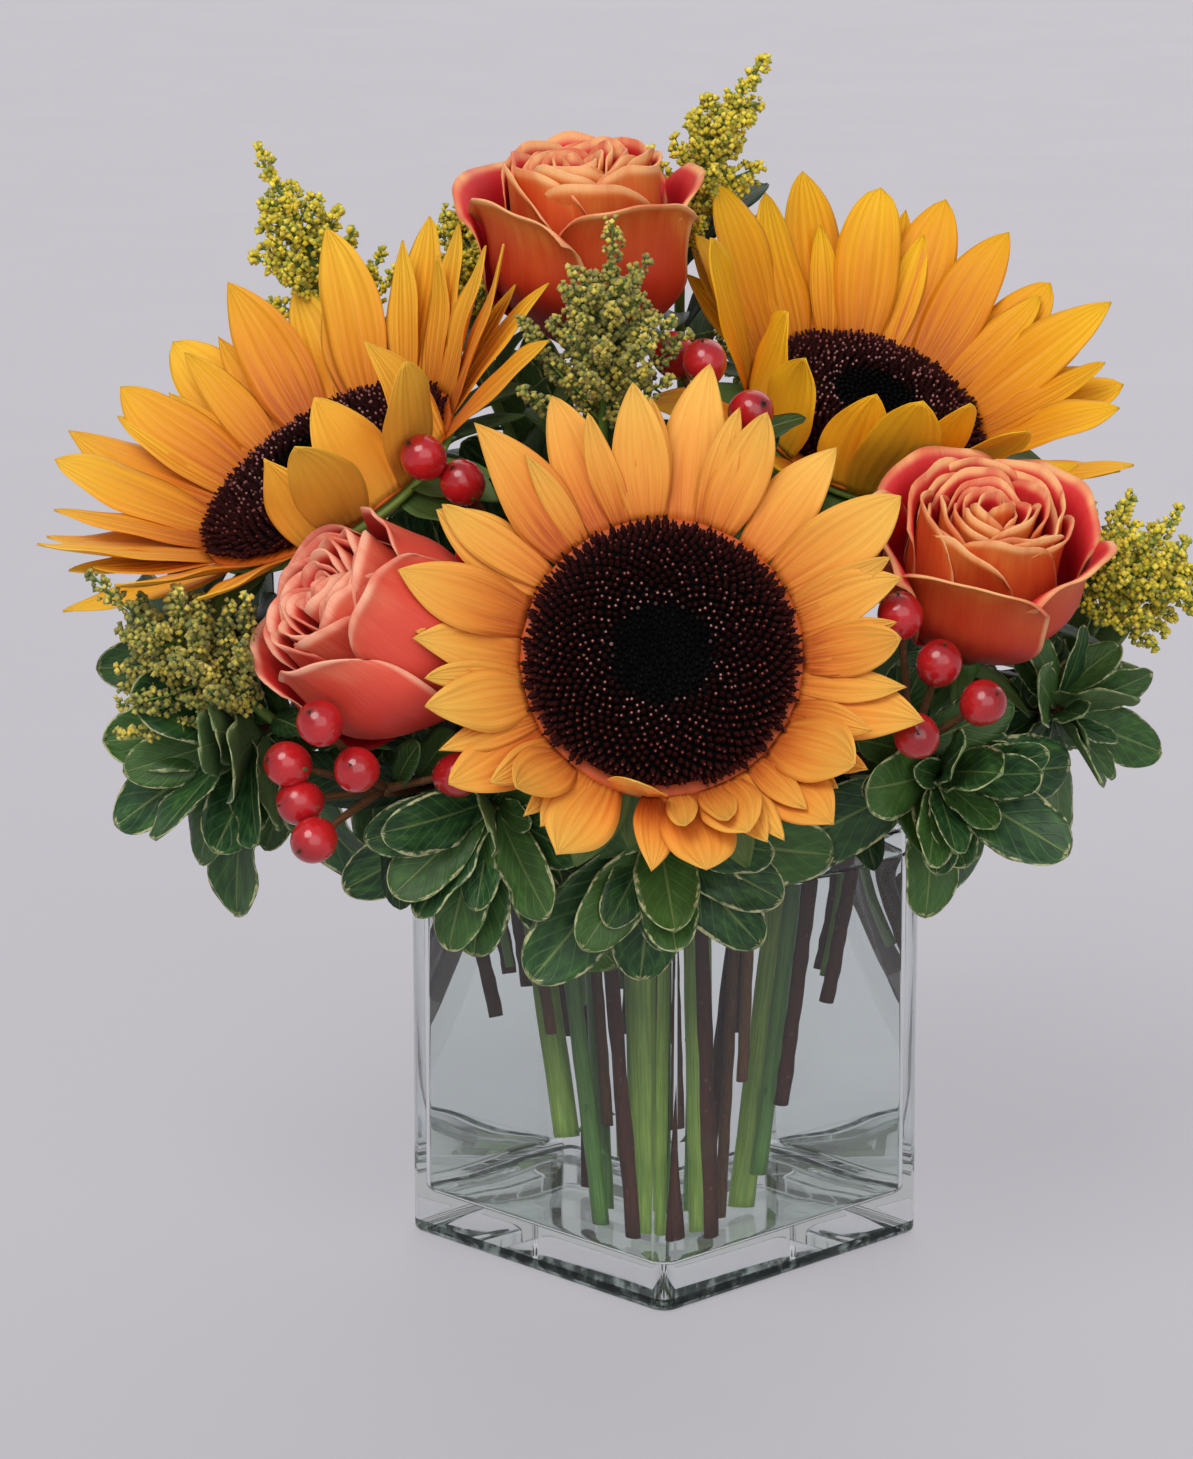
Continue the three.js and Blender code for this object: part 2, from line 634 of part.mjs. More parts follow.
function buildHypericum({ name, head, aim, mouth, depth, berries }) {
  const node = newNode(name, LOOK.berry);
  addStem(node, { mouth, head, aim, neck: 18, radius: 1.9, depth, steps: 4, sides: 5 });
  for (const berry of berries) {
    const away = berry.clone().sub(head).normalize();
    const ball = new THREE.SphereGeometry(BERRY.radius, 6, 4).rotateX(Math.PI / 2);
    ball.scale(1, 1, BERRY.long / BERRY.radius);
    node.pieces.push(solidOf(placed(ball, berry, away)));
    node.pieces.push(rod(head.clone().addScaledVector(aim, -1.5), berry, BERRY.stalk, BERRY.stalk, 3));
  }
}

// Goldenrod: a plume of side twigs, each swollen where its clusters of buds are

const BUD = 5; // radius of a cluster of buds

function buddedTwig(from, to) {
  const span = to.clone().sub(from);
  const long = span.length();
  const profile = [[0, 0], [BUD, 0.4 * long], [0.9, 0.6 * long], [0.85 * BUD, 0.82 * long], [0, long + 1]];
  return solidOf(placed(turned(profile, 4), from, span.normalize(), long));
}

// The line of a plume, which bows to one side.
function spineOf({ head, aim, bow, length }) {
  const side = vector(...bow);
  return (t) => head.clone().addScaledVector(aim, length * t).addScaledVector(side, length * t * t * 0.5);
}

function buildGoldenrodStem(plume) {
  const { name, head, aim, mouth, depth } = plume;
  const node = newNode(name, LOOK.goldenrod);
  addStem(node, { mouth, head, aim, neck: 30, radius: 1.5, depth, steps: 4, sides: 5 });
  const spine = spineOf(plume);
  const middle = spine(0.48);
  node.pieces.push(rod(spine(-0.03), middle, 1.4, 1, 4));
  node.pieces.push(rod(middle, spine(1), 1.1, 0.7, 4));
}

function addGoldenrodTwigs(plume) {
  const { name, width, seed } = plume;
  const node = nodes.find((item) => item.name === name);
  const spine = spineOf(plume);
  const draw = draws(seed);
  const twigs = 5;
  for (let i = 0; i <= twigs; i++) {
    const t = i / twigs;
    const from = spine(0.08 + 0.88 * t);
    const axes = axesAlong(spine(t + 0.01).sub(spine(t)).normalize());
    const azimuth = i * GOLDEN_ANGLE + 0.5 * draw();
    const reach = width * (1.05 - 0.7 * t) * (0.85 + 0.3 * draw());
    const forms = [1, 0.75, 0.5].map((share) => () => {
      const way = i === twigs ? vector(0, 0, 2) : vector(Math.cos(azimuth), Math.sin(azimuth), 0.75);
      return buddedTwig(from, way.multiplyScalar(reach * share).applyMatrix4(axes).add(from));
    });
    addFirstClear(node, forms);
  }
}

// Leaves on stems

// Pittosporum: a whorl of blunt leaves round the tip of a woody stem, the inner ones more upright.
function buildPittosporumStem({ name, head, aim, mouth, depth }) {
  const node = newNode(name, LOOK.pittosporum);
  addStem(node, { mouth, head, aim, neck: 22, radius: 2.3, depth, steps: 4, sides: 5 });
}

function addPittosporumLeaves({ name, head, aim, leaves, length, fan, seed }) {
  const node = nodes.find((item) => item.name === name);
  const draw = draws(seed);
  const axes = axesAlong(aim);
  for (let i = 0; i < leaves; i++) {
    const share = i / (leaves - 1);
    const azimuth = (fan * ((i * GOLDEN_SHARE) % 1) - fan / 2 - 90) * DEGREE;
    const radial = unit(Math.cos(azimuth), Math.sin(azimuth), 0).applyMatrix4(axes);
    const size = length * (1.05 - 0.35 * share) * (0.9 + 0.2 * draw());
    const base = head.clone().addScaledVector(aim, -9 * (1 - share)).addScaledVector(radial, 1.2);
    const tilt = -12 + 70 * share ** 1.3 + 10 * (draw() - 0.5);
    const bend = -0.5 + 0.5 * share;
    const forms = leafForms({
      base, radial, aim, tilt, length: size, width: 0.46 * size, bend, outline: leafOutline,
      shares: [1, 0.8, 0.6], turns: [0, -15, 15, -32, 32, 50, -50], rows: fan < 300 ? 3 : 2,
    });
    addFirstClear(node, forms);
  }
}

buildVase();
SUNFLOWERS.forEach(buildSunflowerStem);
ROSES.forEach(buildRose);
HYPERICUM.forEach(buildHypericum);
PITTOSPORUM.forEach(buildPittosporumStem);
GOLDENROD.forEach(buildGoldenrodStem);
SUNFLOWERS.forEach(buildSunflowerDisc);
SUNFLOWERS.forEach(buildSunflowerPetals);
GOLDENROD.forEach(addGoldenrodTwigs);
ROSES.forEach(addSepals);
SUNFLOWERS.forEach(addBracts);
PITTOSPORUM.forEach(addPittosporumLeaves);
buildWater(waterHoles);

const bouquet = new THREE.Group();
for (const { name, look, pieces } of nodes) bouquet.add(meshOf(name, fused(pieces), look));

export default bouquet;
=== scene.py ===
"""The looks of a bouquet in a square glass vase: sunflowers, roses, hypericum berries, goldenrod and
pittosporum. Lengths are in millimetres until a mesh is made, and +Z is up."""

import math

import bpy
import numpy as np
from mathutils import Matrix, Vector
from mathutils.bvhtree import BVHTree
from mathutils.kdtree import KDTree


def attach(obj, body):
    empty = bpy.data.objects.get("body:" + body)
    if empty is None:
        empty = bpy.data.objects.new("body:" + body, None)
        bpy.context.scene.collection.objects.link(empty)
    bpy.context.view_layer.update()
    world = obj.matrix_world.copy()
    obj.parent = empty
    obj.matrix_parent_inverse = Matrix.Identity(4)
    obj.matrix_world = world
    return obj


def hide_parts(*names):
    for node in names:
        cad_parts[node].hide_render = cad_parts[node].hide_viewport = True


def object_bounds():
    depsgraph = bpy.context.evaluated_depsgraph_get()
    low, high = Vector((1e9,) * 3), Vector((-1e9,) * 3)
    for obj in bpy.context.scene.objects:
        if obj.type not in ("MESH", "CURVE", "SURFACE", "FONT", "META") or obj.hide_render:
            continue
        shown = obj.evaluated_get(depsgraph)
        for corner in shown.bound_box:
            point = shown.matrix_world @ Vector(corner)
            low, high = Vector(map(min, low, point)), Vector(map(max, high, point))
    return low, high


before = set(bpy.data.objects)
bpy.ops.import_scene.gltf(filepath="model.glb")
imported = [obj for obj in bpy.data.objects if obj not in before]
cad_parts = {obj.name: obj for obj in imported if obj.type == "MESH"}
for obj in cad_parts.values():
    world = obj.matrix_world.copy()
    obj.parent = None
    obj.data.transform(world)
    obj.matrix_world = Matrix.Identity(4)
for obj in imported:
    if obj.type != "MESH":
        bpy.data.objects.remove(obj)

CAD_BOX = [list(corner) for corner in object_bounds()]
MM = 0.001
BOX = np.array(CAD_BOX) / MM
DEGREE = math.pi / 180
CIRCLE = 2 * math.pi
GOLDEN_ANGLE = 137.508 * DEGREE
GOLDEN_SHARE = 0.618034
VIEWER = np.array([0, -0.973, 0.232])  # the way from the bouquet to the viewer

# The solids' dimensions
VASE_SIDE, VASE_HEIGHT, VASE_WALL, VASE_BASE, VASE_CORNER, VASE_FOOT = 101.6, 118, 4.5, 12, 4.4, 1.6
WATER_LEVEL = 110
STEM_SPREAD, STEM_TWIST, STEM_MEET = 0.55, 0.2, (0, -16)
GAP = 0.4
SHEET = 0.7  # thickness of leaves and petals
SAME = 0.03  # how far off a corner of the solids may be
DRAW_FACTOR, DRAW_MODULUS, DRAW_START = 16807, 2147483647, 7919
RING_LOW, RING_HIGH, RING_WIDTH = GAP, GAP + 2.2, 3
PETALS, BRACTS, SEPALS, TWIGS = 22, 8, 5, 5
BERRY_RADIUS, BERRY_LONG = 5.9, 6.6

# How near the fine pieces come to the sides of the CAD box, and leaves that the solids don't have
EDGE_GAP, LEAF_GAP = 0.02, 0.5
# The shares of a leaf's length from which it must be free, and from which later ones keep clear of it
FREE_FROM, TAKEN_FROM = 0.12, 0.35


def vec(*numbers):
    return np.array(numbers, float)


def unit(*numbers):
    v = np.array(numbers, float).reshape(-1)
    return v / np.linalg.norm(v)


class Plant:
    """A row of a table of plants: a name, the place and direction of the bloom or tip, where the stem passes
    the vase's rim, the share of the way down from there to the stems' feet that it goes, and its kind's
    fields."""

    def __init__(self, kind, fields, row):
        for key, value in zip(("name place aim mouth depth " + fields).split(), row):
            setattr(self, key, value)
        self.name = f"{kind}_{self.name}"
        self.place, self.aim = vec(*self.place), unit(*self.aim)


# disc is a radius. Petals have a length and a share of it as their width, and rise by lean degrees, and by
# near_lean more towards the viewer. Between the folds, in degrees off the viewer, they fold up. Their warmth
# is up to 1. A neck is how far the end of a stem runs towards the head's own direction.
SUNFLOWERS = [Plant("sunflower", "disc length wide lean near_lean folds neck seed warm", row) for row in (
    ("front", (-1, -88, 184), (0, -0.92, 0.39), (0, -29), 1, 34, 38, 0.44, 40, 20, (-30, 10), 26, 11, 1),
    ("left", (-90, -18, 217), (-0.49, -0.24, 0.84), (-31, -1), 0.8,
     36, 46, 0.4, 40, -12, (-20, 50), 36, 23, 0.5),
    ("right", (54, 12, 228), (0.27, -0.46, 0.85), (22, 9), 1, 31, 44, 0.4, 44, -4, (-70, 20), 40, 37, 0),
)]
ROSES = [Plant("rose", "radius height open neck turn", row) for row in (
    ("left", (-50, -67, 168), (-0.72, -0.36, 0.6), (-24, -20), 1, 31, 62, 0.4, 22, 0.4),
    ("right", (79, -50, 177), (0.12, -0.42, 0.9), (30, -9), 0.9, 29, 54, 1, 24, 1.9),
    ("top", (-21, 10, 246), (-0.04, -0.14, 0.98), (-7, 12), 1, 30, 61, 1, 50, 3.1),
)]
HYPERICUM = [Plant("hypericum", "berries", row) for row in (
    ("middle", (12, -33, 232), (0.1, -0.3, 0.95), (10, -9), 1,
     [(10, -40, 253), (22, -46, 241), (2, -28, 253)]),
    ("left", (-46, -52, 212), (-0.3, -0.3, 0.9), (-12, -12), 0.75,
     [(-63, -64, 232), (-53, -62, 225), (-49, -66, 206)]),
    ("front_left", (-74, -82, 148), (-0.6, -0.6, 0.3), (-36, -20), 0.5,
     [(-88, -107, 171), (-97, -97, 158), (-79, -103, 158), (-94, -97, 148), (-90, -105, 140),
      (-54, -92, 154)]),
    ("front_right", (64, -78, 158), (0.4, -0.8, 0.3), (20, -36), 0.6,
     [(60, -91, 196), (70, -93, 184), (81, -99, 175), (64, -106, 168)]),
)]
# bow bends a plume as it rises, and full is how thick its florets stand
# Plumes marked True get the floret colours with painted light, the rest those with painted shade
GOLDENROD = [Plant("goldenrod", "bow length width seed sunny full", row) for row in (
    ("top", (4, 34, 270), (0.1, -0.06, 1), (8, 28), 0.45, (0.5, -0.1, 0), 46, 20, 41, True, 1.15),
    ("left_top", (-92, 46, 244), (-0.15, 0, 1), (-20, 18), 0.4, (-0.4, 0, 0), 42, 22, 42, True, 1.15),
    ("back_left", (-54, 42, 250), (-0.05, 0, 1), (-8, 29), 0.5, (0.1, 0, 0), 32, 18, 43, True, 0.8),
    ("middle", (-17, -38, 232), (0.05, -0.15, 1), (-2, -2), 0.85, (0, 0, 0), 42, 30, 44, False, 1),
    ("left", (-106, -64, 164), (-0.72, -0.2, 0.65), (-46, -8), 0.35, (-0.1, 0, 0.1), 36, 31, 45, False, 1),
    ("right", (104, -16, 188), (0.9, -0.1, 0.3), (45, 5), 0.4, (0.2, 0, -0.4), 34, 27, 46, True, 1),
    ("back", (34, 72, 216), (0.2, 0.5, 0.85), (16, 42), 0.45, (0.1, 0.3, 0), 44, 26, 47, False, 0.8),
)]
# Its leaves spread over a fan in degrees. tips are places that more of them reach, and extra is how many more
# there are
PITTOSPORUM = [Plant("pittosporum", "leaves length fan seed extra tips", row) for row in (
    ("front_left", (-46, -76, 142), (-0.45, -0.85, -0.1), (-14, -44), 1, 9, 50, 240, 61, 20,
     [(-83, -92, 134), (-64, -100, 120), (-76, -88, 105), (-61, -80, 100), (-41, -100, 120), (-88, -70, 113),
      (-69, -64, 148), (-73, -66, 141), (-62, -58, 155)]),
    ("front", (-2, -84, 136), (0, -1, -0.2), (6, -50), 1, 10, 46, 220, 62, 18,
     [(-44, -104, 107), (-36, -92, 97), (16, -106, 116), (2, -112, 122), (-17, -100, 112), (-28, -80, 109),
      (30, -95, 122)]),
    ("left", (-112, -56, 156), (-0.7, -0.6, 0), (-54, 3), 0.5, 10, 52, 250, 63, 22,
     [(-148, -62, 156), (-149, -66, 146), (-132, -74, 136), (-119, -78, 127), (-103, -82, 126),
      (-146, -40, 189), (-138, -75, 172), (-111, -84, 145)]),
    ("front_right", (72, -72, 149), (0.45, -0.85, 0), (38, -20), 0.7, 9, 44, 240, 64, 20,
     [(87, -88, 139), (84, -100, 159), (76, -104, 167), (71, -85, 133), (105, -84, 132), (84, -56, 168),
      (76, -58, 166), (78, -84, 129)]),
    ("right", (106, -36, 158), (0.85, -0.5, 0.1), (50, -8), 0.45, 9, 40, 280, 65, 20,
     [(128, -46, 168), (110, -62, 164), (110, -66, 144), (122, -30, 177), (112, -58, 134)]),
    ("far_left", (-120, -14, 168), (-0.85, -0.3, 0.35), (-42, 12), 0.4, 7, 42, 360, 66, 24,
     [(-148, -34, 190), (-150, -24, 180), (-140, -40, 194), (-154, -20, 166), (-132, -46, 188)]),
    ("back_left", (-76, 58, 168), (-0.7, 0.65, 0.3), (-32, 24), 0.45, 8, 46, 320, 68, 24,
     [(-73, 40, 198), (-70, 50, 201), (-62, 46, 206)]),
    ("back", (-4, 88, 166), (0, 0.9, 0.3), (0, 52), 1, 8, 46, 320, 69, 24, []),
    ("back_right", (74, 60, 168), (0.65, 0.65, 0.3), (26, 32), 0.5, 8, 46, 320, 70, 24, []),
    ("high_left", (-30, 58, 196), (-0.2, 0.55, 0.8), (-12, 42), 0.6, 8, 42, 360, 72, 22,
     [(-37, 44, 247), (-43, 42, 242), (-46, 44, 237), (-36, 34, 248), (-57, 45, 216), (-46, 30, 226),
      (-51, 30, 215), (-39, 30, 232), (-58, 36, 206), (-40, 20, 214), (-32, 24, 222), (-48, 24, 220),
      (-44, 34, 212), (-36, 28, 218), (-54, 28, 210), (-26, 22, 216)]),
    ("high_right", (24, 50, 196), (0.2, 0.45, 0.85), (9, 16), 0.55, 8, 44, 360, 73, 22, []),
    ("far_right", (108, 20, 158), (0.95, 0.25, 0.2), (42, 16), 0.4, 7, 42, 320, 71, 24, []),
)]


# Shapes shared with the solids


def draws(seed):
    """The solids' seeded row of draws from 0 to 1."""
    state = seed * DRAW_START

    def draw():
        nonlocal state
        state = state * DRAW_FACTOR % DRAW_MODULUS
        return state / DRAW_MODULUS

    return draw


def axes_along(aim, turn=0.0):
    """Square axes as the columns of a matrix, with z along aim, and x level where it can be."""
    level = vec(1, 0, 0) if abs(aim[2]) > 0.999 else unit(np.cross(vec(0, 0, 1), aim))
    c, s = math.cos(turn), math.sin(turn)
    x = level * c + np.cross(aim, level) * s + aim * np.dot(aim, level) * (1 - c)
    return np.column_stack([x, np.cross(aim, x), aim])


def radial_of(axes, azimuth):
    return axes @ vec(math.cos(azimuth), math.sin(azimuth), 0)


def arch(share):
    return np.maximum(0, np.sin(np.pi * share)) ** 0.8


def ray_outline(v):
    return np.where(v > 0.999, 0, arch(0.08 + 0.92 * v))


def leaf_outline(v):
    return arch(0.92 * v**1.3)


def bract_outline(v):
    return np.where(v > 0.999, 0, arch(0.3 + 0.7 * v))


class Leaf:
    """The middle line and axes of a leaf or petal that leaves base at an angle above radial."""

    def __init__(self, base, radial, aim, tilt, length, width, bend):
        c, s = math.cos(tilt * DEGREE), math.sin(tilt * DEGREE)
        self.base, self.length, self.width = base, length, width
        self.along = radial * c + aim * s
        self.across = unit(np.cross(self.along, aim * c - radial * s))
        self.face = unit(np.cross(self.across, self.along))
        self.bend = bend if abs(bend) >= 1e-3 else 1e-3

    def point(self, u, v, outline, lift=0.0, sway=0.0):
        """The place at u across and v along, raised by lift off the middle surface and moved by sway."""
        u, v = np.broadcast_arrays(np.asarray(u, float), np.asarray(v, float))
        turn = self.bend
        forward = self.length * np.sin(turn * v) / turn - np.sin(turn * v) * lift
        rise = self.length * (1 - np.cos(turn * v)) / turn + np.cos(turn * v) * lift
        side = u * self.width * outline(v) / 2 + sway
        forward, rise, side = (part[..., None] for part in (forward, rise, side))
        return self.base + forward * self.along + rise * self.face + side * self.across

    def corners(self, outline, rows):
        """The corners of the solid's rows, all but the first."""
        grids = np.meshgrid(np.arange(1, rows + 1) / rows, [-1.0, 1.0], indexing="ij")
        v, u = (grid.ravel() for grid in grids)
        step = 1e-3
        inside = np.clip(v, 0.02, 0.98)
        across = self.point(u + step, inside, outline) - self.point(u - step, inside, outline)
        ahead, behind = np.minimum(v + step, 1), np.maximum(v - step, 0)
        along = self.point(u, ahead, outline) - self.point(u, behind, outline)
        out = np.cross(across, along)
        out *= SHEET / 2 / np.linalg.norm(out, axis=1, keepdims=True)
        middle = self.point(u, v, outline)
        return np.concatenate([middle + out, middle - out])


POINTS = {}
for node_name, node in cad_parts.items():
    tree = POINTS[node_name] = KDTree(len(node.data.vertices))
    for index, vertex in enumerate(node.data.vertices):
        tree.insert(vertex.co / MM, index)
    tree.balance()


def hits(node_name, corners):
    """How many of these corners a solid has."""
    return sum(POINTS[node_name].find(Vector(corner))[2] < SAME for corner in corners)


def built_leaf(node_name, outline, rows, shares, turns, base, radial, aim, tilt, length, width, bend):
    """The form in which the solid holds this leaf, or None where it was left out."""
    best, most = None, 0
    for share in shares:
        for turn in turns:
            leaf = Leaf(base, radial, aim, tilt + turn, length * share, width * share, bend)
            count = hits(node_name, leaf.corners(outline, rows))
            if count > most:
                best, most = leaf, count
    return best


def stem_line(item, head, neck):
    """Points along a stem: straight from its foot to the rim, then one curve to the head."""
    x, y = np.array(item.mouth) * STEM_SPREAD
    c, s = math.cos(STEM_TWIST), math.sin(STEM_TWIST)
    floor = vec(x * c - y * s + STEM_MEET[0], x * s + y * c + STEM_MEET[1], VASE_BASE + 2)
    rim = vec(*item.mouth, VASE_HEIGHT)
    foot = rim + (floor - rim) * item.depth
    second = rim + unit(rim - floor) * 0.4 * np.linalg.norm(head - rim)
    third = head - item.aim * neck
    low = [foot + (rim - foot) * t for t in np.linspace(0, 1, 16, endpoint=False)]
    high = [
        rim * (1 - t) ** 3 + second * 3 * t * (1 - t) ** 2 + third * 3 * t * t * (1 - t) + head * t**3
        for t in np.linspace(0, 1, 26)
    ]
    return np.array(low + high)


# Meshes


def linked(name, data):
    """A new object in the scene."""
    made = bpy.data.objects.new(name, data)
    bpy.context.scene.collection.objects.link(made)
    return made


def rows_of(*columns):
    """Rows of three from three arrays or numbers, spread to one shape."""
    return np.stack(np.broadcast_arrays(*columns), -1).reshape(-1, 3)


def angles(count):
    return np.linspace(0, CIRCLE, count, endpoint=False)


def rings_of(radius, height, sides):
    """Rings of points about Z at these columns of radii and heights."""
    return rows_of(radius * np.cos(angles(sides)), radius * np.sin(angles(sides)), height)


def run_of(line):
    """How far along a line each of its points after the first is."""
    return np.cumsum(np.linalg.norm(np.diff(line, axis=0), axis=1))


def grid_quads(rows, columns, around=False):
    """Quads of a grid of points, which may close on itself around its columns."""
    i, j = np.meshgrid(np.arange(rows - 1), np.arange(columns if around else columns - 1), indexing="ij")
    k = (j + 1) % columns
    low, high = i * columns, (i + 1) * columns
    return np.stack([low + j, low + k, high + k, high + j], -1).reshape(-1, 4)


def rod_faces(rows, sides):
    """Quads round rings of points, and triangles to the two end points that follow them."""
    n = rows * sides
    j = np.arange(sides)
    k = (j + 1) % sides
    low = np.stack([np.full(sides, n), k, j], -1)
    high = np.stack([np.full(sides, n + 1), n - sides + j, n - sides + k], -1)
    return grid_quads(rows, sides, around=True), np.concatenate([low, high])


class Shape:
    """Closed shells gathered into one mesh. grain holds how far across and along each leaf or rod a vertex
    is, and a draw that is the same all over that leaf. side is 0 on an upper face and 1 on an under face."""

    def __init__(self):
        self.places, self.grains, self.sides, self.count = [], [], [], 0
        self.faces, self.looks = {4: [], 3: []}, {4: [], 3: []}

    def add(self, places, grain, quads, tris=(), side=0, look=0):
        places = np.reshape(places, (-1, 3))
        n = len(places)
        self.places.append(places)
        self.grains.append(np.broadcast_to(grain, (n, 3)))
        self.sides.append(np.broadcast_to(side, (n,)))
        for size, faces in ((4, quads), (3, tris)):
            faces = np.reshape(faces, (-1, size)).astype(int) + self.count
            self.faces[size].append(faces)
            self.looks[size].append(np.full(len(faces), look))
        self.count += n

    def finish(self, name, materials, replaced, slot):
        places = np.clip(np.concatenate(self.places), BOX[0] + EDGE_GAP, BOX[1] - EDGE_GAP) * MM
        quads, tris = np.concatenate(self.faces[4]), np.concatenate(self.faces[3])
        looks = np.concatenate(self.looks[4] + self.looks[3])
        starts = np.concatenate([np.arange(len(quads)) * 4, quads.size + np.arange(len(tris)) * 3])
        mesh = bpy.data.meshes.new(name)
        mesh.vertices.add(len(places))
        mesh.loops.add(quads.size + tris.size)
        mesh.polygons.add(len(quads) + len(tris))
        mesh.vertices.foreach_set("co", places.astype(np.float32).ravel())
        mesh.loops.foreach_set("vertex_index", np.concatenate([quads.ravel(), tris.ravel()]).astype(np.int32))
        mesh.polygons.foreach_set("loop_start", starts.astype(np.int32))
        mesh.polygons.foreach_set("material_index", looks.astype(np.int32))
        mesh.polygons.foreach_set("use_smooth", np.ones(len(looks), bool))
        mesh.update(calc_edges=True)
        for label, kind, key, rows in (
            ("grain", "FLOAT_VECTOR", "vector", self.grains), ("side", "FLOAT", "value", self.sides),
        ):
            data = mesh.attributes.new(label, kind, "POINT").data
            data.foreach_set(key, np.concatenate(rows).astype(np.float32).ravel())
        for material in materials:
            mesh.materials.append(material)
        piece = linked(name, mesh)
        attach(piece, "root")
        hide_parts(replaced)
        return piece


def add_sheet(shape, places, U, V, draw, thickness, edge, look=0):
    """A thin sheet along a grid of places, thinner at its edges."""
    grid = np.arange(U.size).reshape(U.shape)
    normal = np.cross(np.gradient(places, axis=1), np.gradient(places, axis=0))
    normal /= np.linalg.norm(normal, axis=2, keepdims=True) + 1e-9
    half = thickness / 2 * (edge + (1 - edge) * (1 - np.abs(U) ** 5))
    offset = normal * half[..., None]
    rim = np.concatenate([grid[0], grid[1:, -1], grid[-1, -2::-1], grid[-2:0:-1, 0]])
    after = np.roll(rim, -1)
    wall = np.stack([rim, rim + U.size, after + U.size, after], -1)
    quads = grid_quads(*U.shape)
    shape.add(
        np.concatenate([places + offset, places - offset]), np.tile(rows_of(U, V, draw), (2, 1)),
        np.concatenate([quads, (quads + U.size)[:, ::-1], wall]), side=np.repeat([0, 1], U.size), look=look,
    )


def frames_of(line):
    """Two square axes across a line at each of its points, carried along without twist, and its own way."""
    tangents = np.gradient(line, axis=0)
    tangents /= np.linalg.norm(tangents, axis=1, keepdims=True)
    side = unit(np.cross(tangents[0], vec(0.3, 0.5, 0.8)))
    sides = []
    for tangent in tangents:
        side = unit(side - tangent * np.dot(side, tangent))
        sides.append(side)
    return np.array(sides), np.cross(tangents, sides), tangents


def add_rod(shape, line, radii, sides, draw, relief=None):
    """A round rod along a line. relief is a share of the radius that is added at each angle and length."""
    line = np.asarray(line, float)
    x, y, _ = frames_of(line)
    angle = angles(sides)
    along = np.concatenate([[0], run_of(line)])[:, None]
    radius = np.reshape(radii, (-1, 1)) * (1 + relief(angle, along) if relief else np.ones(sides))
    ring = np.cos(angle)[:, None] * x[:, None] + np.sin(angle)[:, None] * y[:, None]
    places = (line[:, None] + radius[..., None] * ring).reshape(-1, 3)
    grain = rows_of(np.cos(angle), along / 10, draw)
    ends = [[0, 0, draw], [0, along[-1, 0] / 10, draw]]
    shape.add(
        np.concatenate([places, line[[0, -1]]]), np.concatenate([grain, ends]), *rod_faces(len(line), sides)
    )


def turned(profile, sides, relief=None):
    """Places and faces of a profile of (radius, height) pairs, from one end of Z to the other, turned round
    it. relief is added to the radius at each angle and height."""
    profile = np.asarray(profile, float)
    radius, height = profile[1:-1].T[..., None]
    if relief:
        radius = radius + relief(angles(sides), height)
    ends = [[0, 0, profile[0, 1]], [0, 0, profile[-1, 1]]]
    return np.concatenate([rings_of(radius, height, sides), ends]), *rod_faces(len(profile) - 2, sides)


def add_turned(shape, profile, axes, place, sides, draw, relief=None, grain_of=None):
    """A turned solid. A rule for the grain gives what its first number is at a radius."""
    local, quads, tris = turned(profile, sides, relief)
    around = np.concatenate([np.tile(np.cos(angles(sides)), len(profile) - 2), [0, 0]])
    if grain_of:
        around = grain_of(np.hypot(local[:, 0], local[:, 1]))
    along = np.concatenate([np.repeat(np.linspace(0, 1, len(profile))[1:-1], sides), [0, 1]])
    shape.add(local @ axes.T + place, rows_of(around, along, draw), quads, tris)


def bead(sides, profile):
    """A small turned solid to be set down many times over: its places, how far up each is, and its faces."""
    local, quads, tris = turned(profile, sides)
    low, high = profile[0][1], profile[-1][1]
    return local, (local[:, 2] - low) / (high - low), quads, tris


def add_beads(shape, kind, places, ways, sizes, seeds, across=0.0):
    """Sets a bead down at each place, its axis along each way."""
    local, along, quads, tris = kind
    z = ways / np.linalg.norm(ways, axis=1, keepdims=True)
    x = np.cross(np.where(np.abs(z[:, 2:]) > 0.9, vec(1, 0, 0), vec(0, 0, 1)), z)
    x /= np.linalg.norm(x, axis=1, keepdims=True)
    scaled = local * sizes[:, None]
    moves = (scaled[..., i : i + 1] * axis[:, None] for i, axis in enumerate((x, np.cross(z, x), z)))
    step = np.arange(len(places))[:, None, None] * len(local)
    grain = rows_of(np.reshape(across, (-1, 1)), along, seeds[:, None])
    shape.add(sum(moves, places[:, None]), grain, quads + step, tris + step)


def points_on(line, rng, first, last, count):
    """Draws points of a line: which, the ways out from it there, and its own ways."""
    x, y, along = frames_of(line)
    at = rng.integers(first, last, count)
    angle = rng.uniform(0, CIRCLE, count)[:, None]
    return at, np.cos(angle) * x[at] + np.sin(angle) * y[at], along[at]


def down_stem(line, distance):
    """The point of a stem about this far down from its head, and the way the stem goes there."""
    at = len(line) - 2 - int(np.searchsorted(run_of(line[::-1]), distance))
    return line[at], unit(line[at + 1] - line[at])


# Materials


def colour(r, g, b):
    """A colour given as it looks on a screen, from 0 to 255."""
    channels = [c / 255 for c in (r, g, b)]
    return (*[c / 12.92 if c <= 0.04045 else ((c + 0.055) / 1.055) ** 2.4 for c in channels], 1.0)


